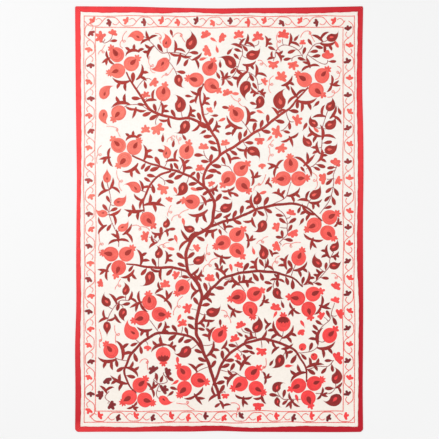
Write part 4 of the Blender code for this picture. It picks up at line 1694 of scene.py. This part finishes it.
@dataclass
class BindingStrip:
    """One strip of binding, folded over an edge of the ground and mitred at its ends."""

    plan: ClothPlan
    side: str
    spacing: float = 0.005
    mitre_gap: float = 0.00015
    mitre_depth: float = 0.028
    corner_steps: int = 8
    shown_face: range = range(7, 18)

    def section(self, face: float) -> list[tuple[float, float, float]]:
        """The folded section: distance from the fold, height, and place across the strip's shown face."""
        mm = [
            (face / MM - 0.1, 0.35, 1.0), (face / MM - 1.0, 0.0, 0.9), (face / MM * 0.5, 0.0, 0.5),
            (3.0, 0.0, 0.1), (0.9, 0.45, 0.05), (0.0, 1.6, 0.0), (0.35, 2.7, 0.02), (1.4, 3.45, 0.06),
            (3.2, 3.8, 0.12), (5.2, 3.78, 0.2), (face / MM * 0.33, 3.4, 0.33), (face / MM * 0.5, 3.38, 0.5),
            (face / MM * 0.64, 3.45, 0.64), (face / MM - 8.2, 3.6, 0.72), (face / MM - 6.0, 3.85, 0.8),
            (face / MM - 3.4, 3.85, 0.88), (face / MM - 1.3, 3.6, 0.94), (face / MM - 0.3, 3.1, 0.98),
            (face / MM, 2.5, 1.0), (face / MM - 0.5, 2.2, 1.0), (face / MM * 0.5, 2.2, 0.5), (2.2, 2.2, 0.1),
            (1.3, 1.6, 0.1), (2.2, 1.05, 0.1), (face / MM * 0.5, 1.0, 0.5), (face / MM - 0.5, 0.9, 1.0),
        ]
        return [(depth * MM, height * MM, share) for depth, height, share in mm]

    def half_corner(self, corner: np.ndarray, onward: np.ndarray, inward: np.ndarray, face: float,
                    radius: float) -> list[tuple[np.ndarray, np.ndarray]]:
        """Pairs of points from a mitre round to the side: on the cloth's edge, and at the leaf's end."""
        centre = corner + (onward + inward) * radius
        inner_corner = corner + (onward + inward) * face
        pairs = []
        for step in range(self.corner_steps):
            turn = math.radians(45) * (1 - step / self.corner_steps)
            outer = centre - inward * radius * math.cos(turn) - onward * radius * math.sin(turn)
            inner = inner_corner + onward * (self.plan.rim_width - face) * step / self.corner_steps
            pairs.append((outer, inner))
        gap = onward * self.mitre_gap * math.sqrt(2)
        pairs[0] = (pairs[0][0] + gap, pairs[0][1] + gap)
        return pairs

    def pairs(self) -> list[tuple[np.ndarray, np.ndarray]]:
        """Pairs of points along the whole strip, from mitre to mitre."""
        plan, side = self.plan, self.side
        if side in ("left", "right"):
            along, inward = np.array([0.0, 1.0]), np.array([1.0 if side == "left" else -1.0, 0.0])
            corners = [plan.corner(side, "bottom"), plan.corner(side, "top")]
            radii = (plan.bottom_radius, plan.top_radius)
            length, width = plan.length, plan.width
        else:
            along, inward = np.array([1.0, 0.0]), np.array([0.0, 1.0 if side == "bottom" else -1.0])
            corners = [plan.corner("left", side), plan.corner("right", side)]
            radii = (plan.bottom_radius,) * 2 if side == "bottom" else (plan.top_radius,) * 2
            length, width = plan.width, plan.length
        start = self.half_corner(corners[0], along, inward, plan.face_width(side, 0.0), radii[0])
        end = self.half_corner(corners[1], -along, inward, plan.face_width(side, 1.0), radii[1])
        reach = length / 2 - plan.rim_width
        middle = []
        for place in np.linspace(-reach, reach, int(2 * reach / self.spacing)):
            share = place / length + 0.5
            outer = along * place + inward * (plan.edge_inset(side, share) - width / 2)
            face = plan.face_width(side, share) + 0.0007 * math.sin(place * 61)
            face += 0.0005 * math.sin(place * 143)
            middle.append((outer, outer + inward * face))
        return [*start, *middle, *reversed(end)]

    def pucker(self, travelled: float, near_corner: float) -> float:
        """How the shown face rises and dips along the strip, most at its corners."""
        soft = math.sin(travelled * 95) + math.sin(travelled * 167 + 1.0) + math.sin(travelled * 310 + 2.2)
        return soft * (0.00010 + 0.00022 * near_corner)

    def make(self) -> bpy.types.Object:
        """Builds the strip."""
        plan = self.plan
        pairs = self.pairs()
        travelled = 0.0
        total = plan.length if self.side in ("left", "right") else plan.width
        points, shares = [], []
        for index, (outer, inner) in enumerate(pairs):
            if index:
                travelled += float(np.linalg.norm(inner - pairs[index - 1][1]))
            inwards = unit(inner - outer)
            to_end = abs(total - 2 * self.mitre_depth - travelled)
            near = math.exp(-min(travelled, to_end) / 0.03)
            section = self.section(float(np.linalg.norm(inner - outer)))
            places = np.array([outer + inwards * depth for depth, _, _ in section])
            lies = plan.lie(places[:, 0], places[:, 1])
            for number, (_, height, share) in enumerate(section):
                wave = self.pucker(travelled, near) if number in self.shown_face else 0.0
                points.append((*places[number], height + wave + lies[number]))
                shares.append((travelled, share))
        ring = len(section)
        faces = []
        for station in range(len(pairs) - 1):
            for k in range(ring):
                a, b = station * ring + k, station * ring + (k + 1) % ring
                faces.append((a, b, b + ring, a + ring))
        faces.append(tuple(reversed(range(ring))))
        faces.append(tuple(range(len(points) - ring, len(points))))
        if self.side in ("left", "top"):
            faces = [tuple(reversed(corners)) for corners in faces]
        name = "binding_cloth_" + self.side
        mesh = bpy.data.meshes.new(name)
        mesh.from_pydata(points, [], faces)
        layer = mesh.uv_layers.new(name="rows")
        corner_points = np.zeros(len(mesh.loops), int)
        mesh.loops.foreach_get("vertex_index", corner_points)
        layer.data.foreach_set("uv", np.array(shares, np.float32)[corner_points].ravel())
        mesh.shade_smooth()
        piece = shown(bpy.data.objects.new(name, mesh))
        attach(piece, "root")
        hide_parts("binding_" + self.side)
        return piece

    def hem_line(self) -> np.ndarray:
        """The line that the sewing thread follows along the strip's inner edge."""
        places = []
        for outer, inner in self.pairs()[self.corner_steps:-self.corner_steps]:
            inwards = unit(inner - outer)
            spot = inner - inwards * 0.0016
            height = 0.0037 + float(self.plan.lie(spot[:1], spot[1:])[0])
            places.append((spot[0], spot[1], height))
        return np.array(places)


@dataclass
class Studio:
    """The floor, the lamps and the camera."""

    reach: float = 6.0
    view_width: float = 2.268
    view_middle: tuple[float, float] = (0.001, -0.0015)
    floor_half: float = 7.0
    floor_level: float = -0.0004

    def build(self) -> None:
        """Sets up the whole studio."""
        self.floor()
        self.lamp("window light", (-2.9, 0.9, 3.5), 3.0, 100)
        self.lamp("fill light", (2.6, -1.6, 4.0), 4.0, 82)
        self.lamp("top light", (0.2, 2.8, 3.4), 3.0, 22)
        world = bpy.data.worlds.new("studio air")
        world.use_nodes = True
        air = world.node_tree.nodes["Background"]
        air.inputs["Color"].default_value = (1, 1, 1, 1)
        air.inputs["Strength"].default_value = 0.55
        bpy.context.scene.world = world
        bpy.context.scene.view_settings.view_transform = "Standard"
        self.camera()

    def floor(self) -> None:
        """Lays the floor."""
        mesh = bpy.data.meshes.new("floor")
        half, level = self.floor_half, self.floor_level
        corners = [(-half, -half, level), (half, -half, level), (half, half, level), (-half, half, level)]
        mesh.from_pydata(corners, [], [(0, 1, 2, 3)])
        mesh.materials.append(FloorFinish().material())
        shown(bpy.data.objects.new("floor", mesh))

    def lamp(self, name: str, place: tuple[float, float, float], size: float, power: float) -> None:
        """Hangs a soft square lamp that faces the cloth."""
        data = bpy.data.lights.new(name, "AREA")
        data.size, data.energy = size, power
        lamp = shown(bpy.data.objects.new(name, data))
        lamp.location = place
        aim = -lamp.location
        lamp.rotation_euler = aim.to_track_quat("-Z", "Y").to_euler()

    def camera(self) -> None:
        """Hangs the camera straight over the cloth."""
        data = bpy.data.cameras.new("camera")
        data.sensor_width = 36
        data.lens = data.sensor_width * self.reach / self.view_width
        camera = shown(bpy.data.objects.new("camera", data))
        camera.location = (*self.view_middle, self.reach)
        bpy.context.scene.camera = camera


def filled_pieces(work: Needlework) -> list[tuple[bpy.types.Object, str]]:
    """Makes the fillings, each with its thread's slot."""
    return [
        (work.coral.make(), "coral_thread"),
        (work.crowns.make(), "coral_thread"),
        (work.blooms.make(), "coral_thread"),
        (work.maroon.make(), "maroon_thread"),
        (work.sprigs.make(), "maroon_thread"),
        (work.leaves.make(), "maroon_thread"),
        (work.seeds.make(), "maroon_thread"),
        (work.hearts.make(), "coral_thread"),
        (work.boughs.make(), "maroon_thread"),
        (work.dark.make(), "maroon_thread"),
    ]


def stitched_lines(work: Needlework, border: VineBorder,
                   strips: Sequence[BindingStrip]) -> list[tuple[bpy.types.Object, str]]:
    """Lays the lines that are made of single stitches.

    Args:
        work: the needlework, with its stems, tendrils and couched boughs.
        border: the border, with its ruled lines and vine.
        strips: the binding, which is hemmed down.

    Returns:
        The pieces, each with its thread's slot.
    """
    stitches = StitchRow(work.plan)
    chain = single_stitch("chain stitch", 0.0060, 0.0054, 0.0010)
    fine = single_stitch("fine chain stitch", 0.0056, 0.0050, 0.0009)
    couching = single_stitch("couching stitch", 0.0085, 0.0011, 0.0005, slant=58, hollow=0.0)
    hemming = single_stitch("hem stitch", 0.0044, 0.0009, 0.0004, slant=62, hollow=0.0)
    salmon, rosewood = Thread.SALMON.value.material(), Thread.ROSEWOOD.value.material()
    couched, sewn = Thread.COUCHING.value.material(), Thread.SEWING.value.material()
    hems = [strip.hem_line() for strip in strips]
    lines = [
        (stitches.lay("border_lines", border.lines, chain, 0.0044, salmon), "salmon_thread"),
        (stitches.lay("border_vine", border.vine, chain, 0.0044, salmon), "salmon_thread"),
        (stitches.lay("tendrils", work.tendrils, fine, 0.0042, salmon), "salmon_thread"),
        (stitches.lay("stems", work.stems, fine, 0.0042, rosewood), "maroon_thread"),
        (stitches.lay("couching", work.couched, couching, 0.0062, couched, 0.0007), "maroon_thread"),
        (stitches.lay("hem_stitches", hems, hemming, 0.0085, sewn), "red_binding"),
    ]
    for stitch in (chain, fine, couching, hemming):
        bpy.data.objects.remove(stitch)
    return lines


def main() -> None:
    """Builds the cloth, its binding and its embroidery, and reports each piece."""
    logging.basicConfig(level=logging.INFO, format="%(name)s: %(message)s")
    plan = ClothPlan()
    work = Needlework(plan, ClothMap(plan), np.random.default_rng(1907))
    border = VineBorder(work)
    border.work_all()
    PomegranateTree(work).grow()

    ground = Ground(plan).make()
    binding_cotton = BindingFinish().material()
    strips = [BindingStrip(plan, side) for side in EDGE_INSETS_MM]
    covers = []
    for strip in strips:
        cover = strip.make()
        cover.data.materials.append(binding_cotton)
        covers.append(cover)
    pieces = filled_pieces(work) + stitched_lines(work, border, strips)
    for piece, slot in pieces:
        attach(piece, "root")
    Studio().build()
    embroidery = [piece for piece, _ in pieces]
    for piece in [ground, *covers, *embroidery]:
        LOG.info("%s: %d points, %d faces", piece.name, len(piece.data.vertices), len(piece.data.polygons))
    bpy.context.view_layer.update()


if __name__ == "__main__":
    main()
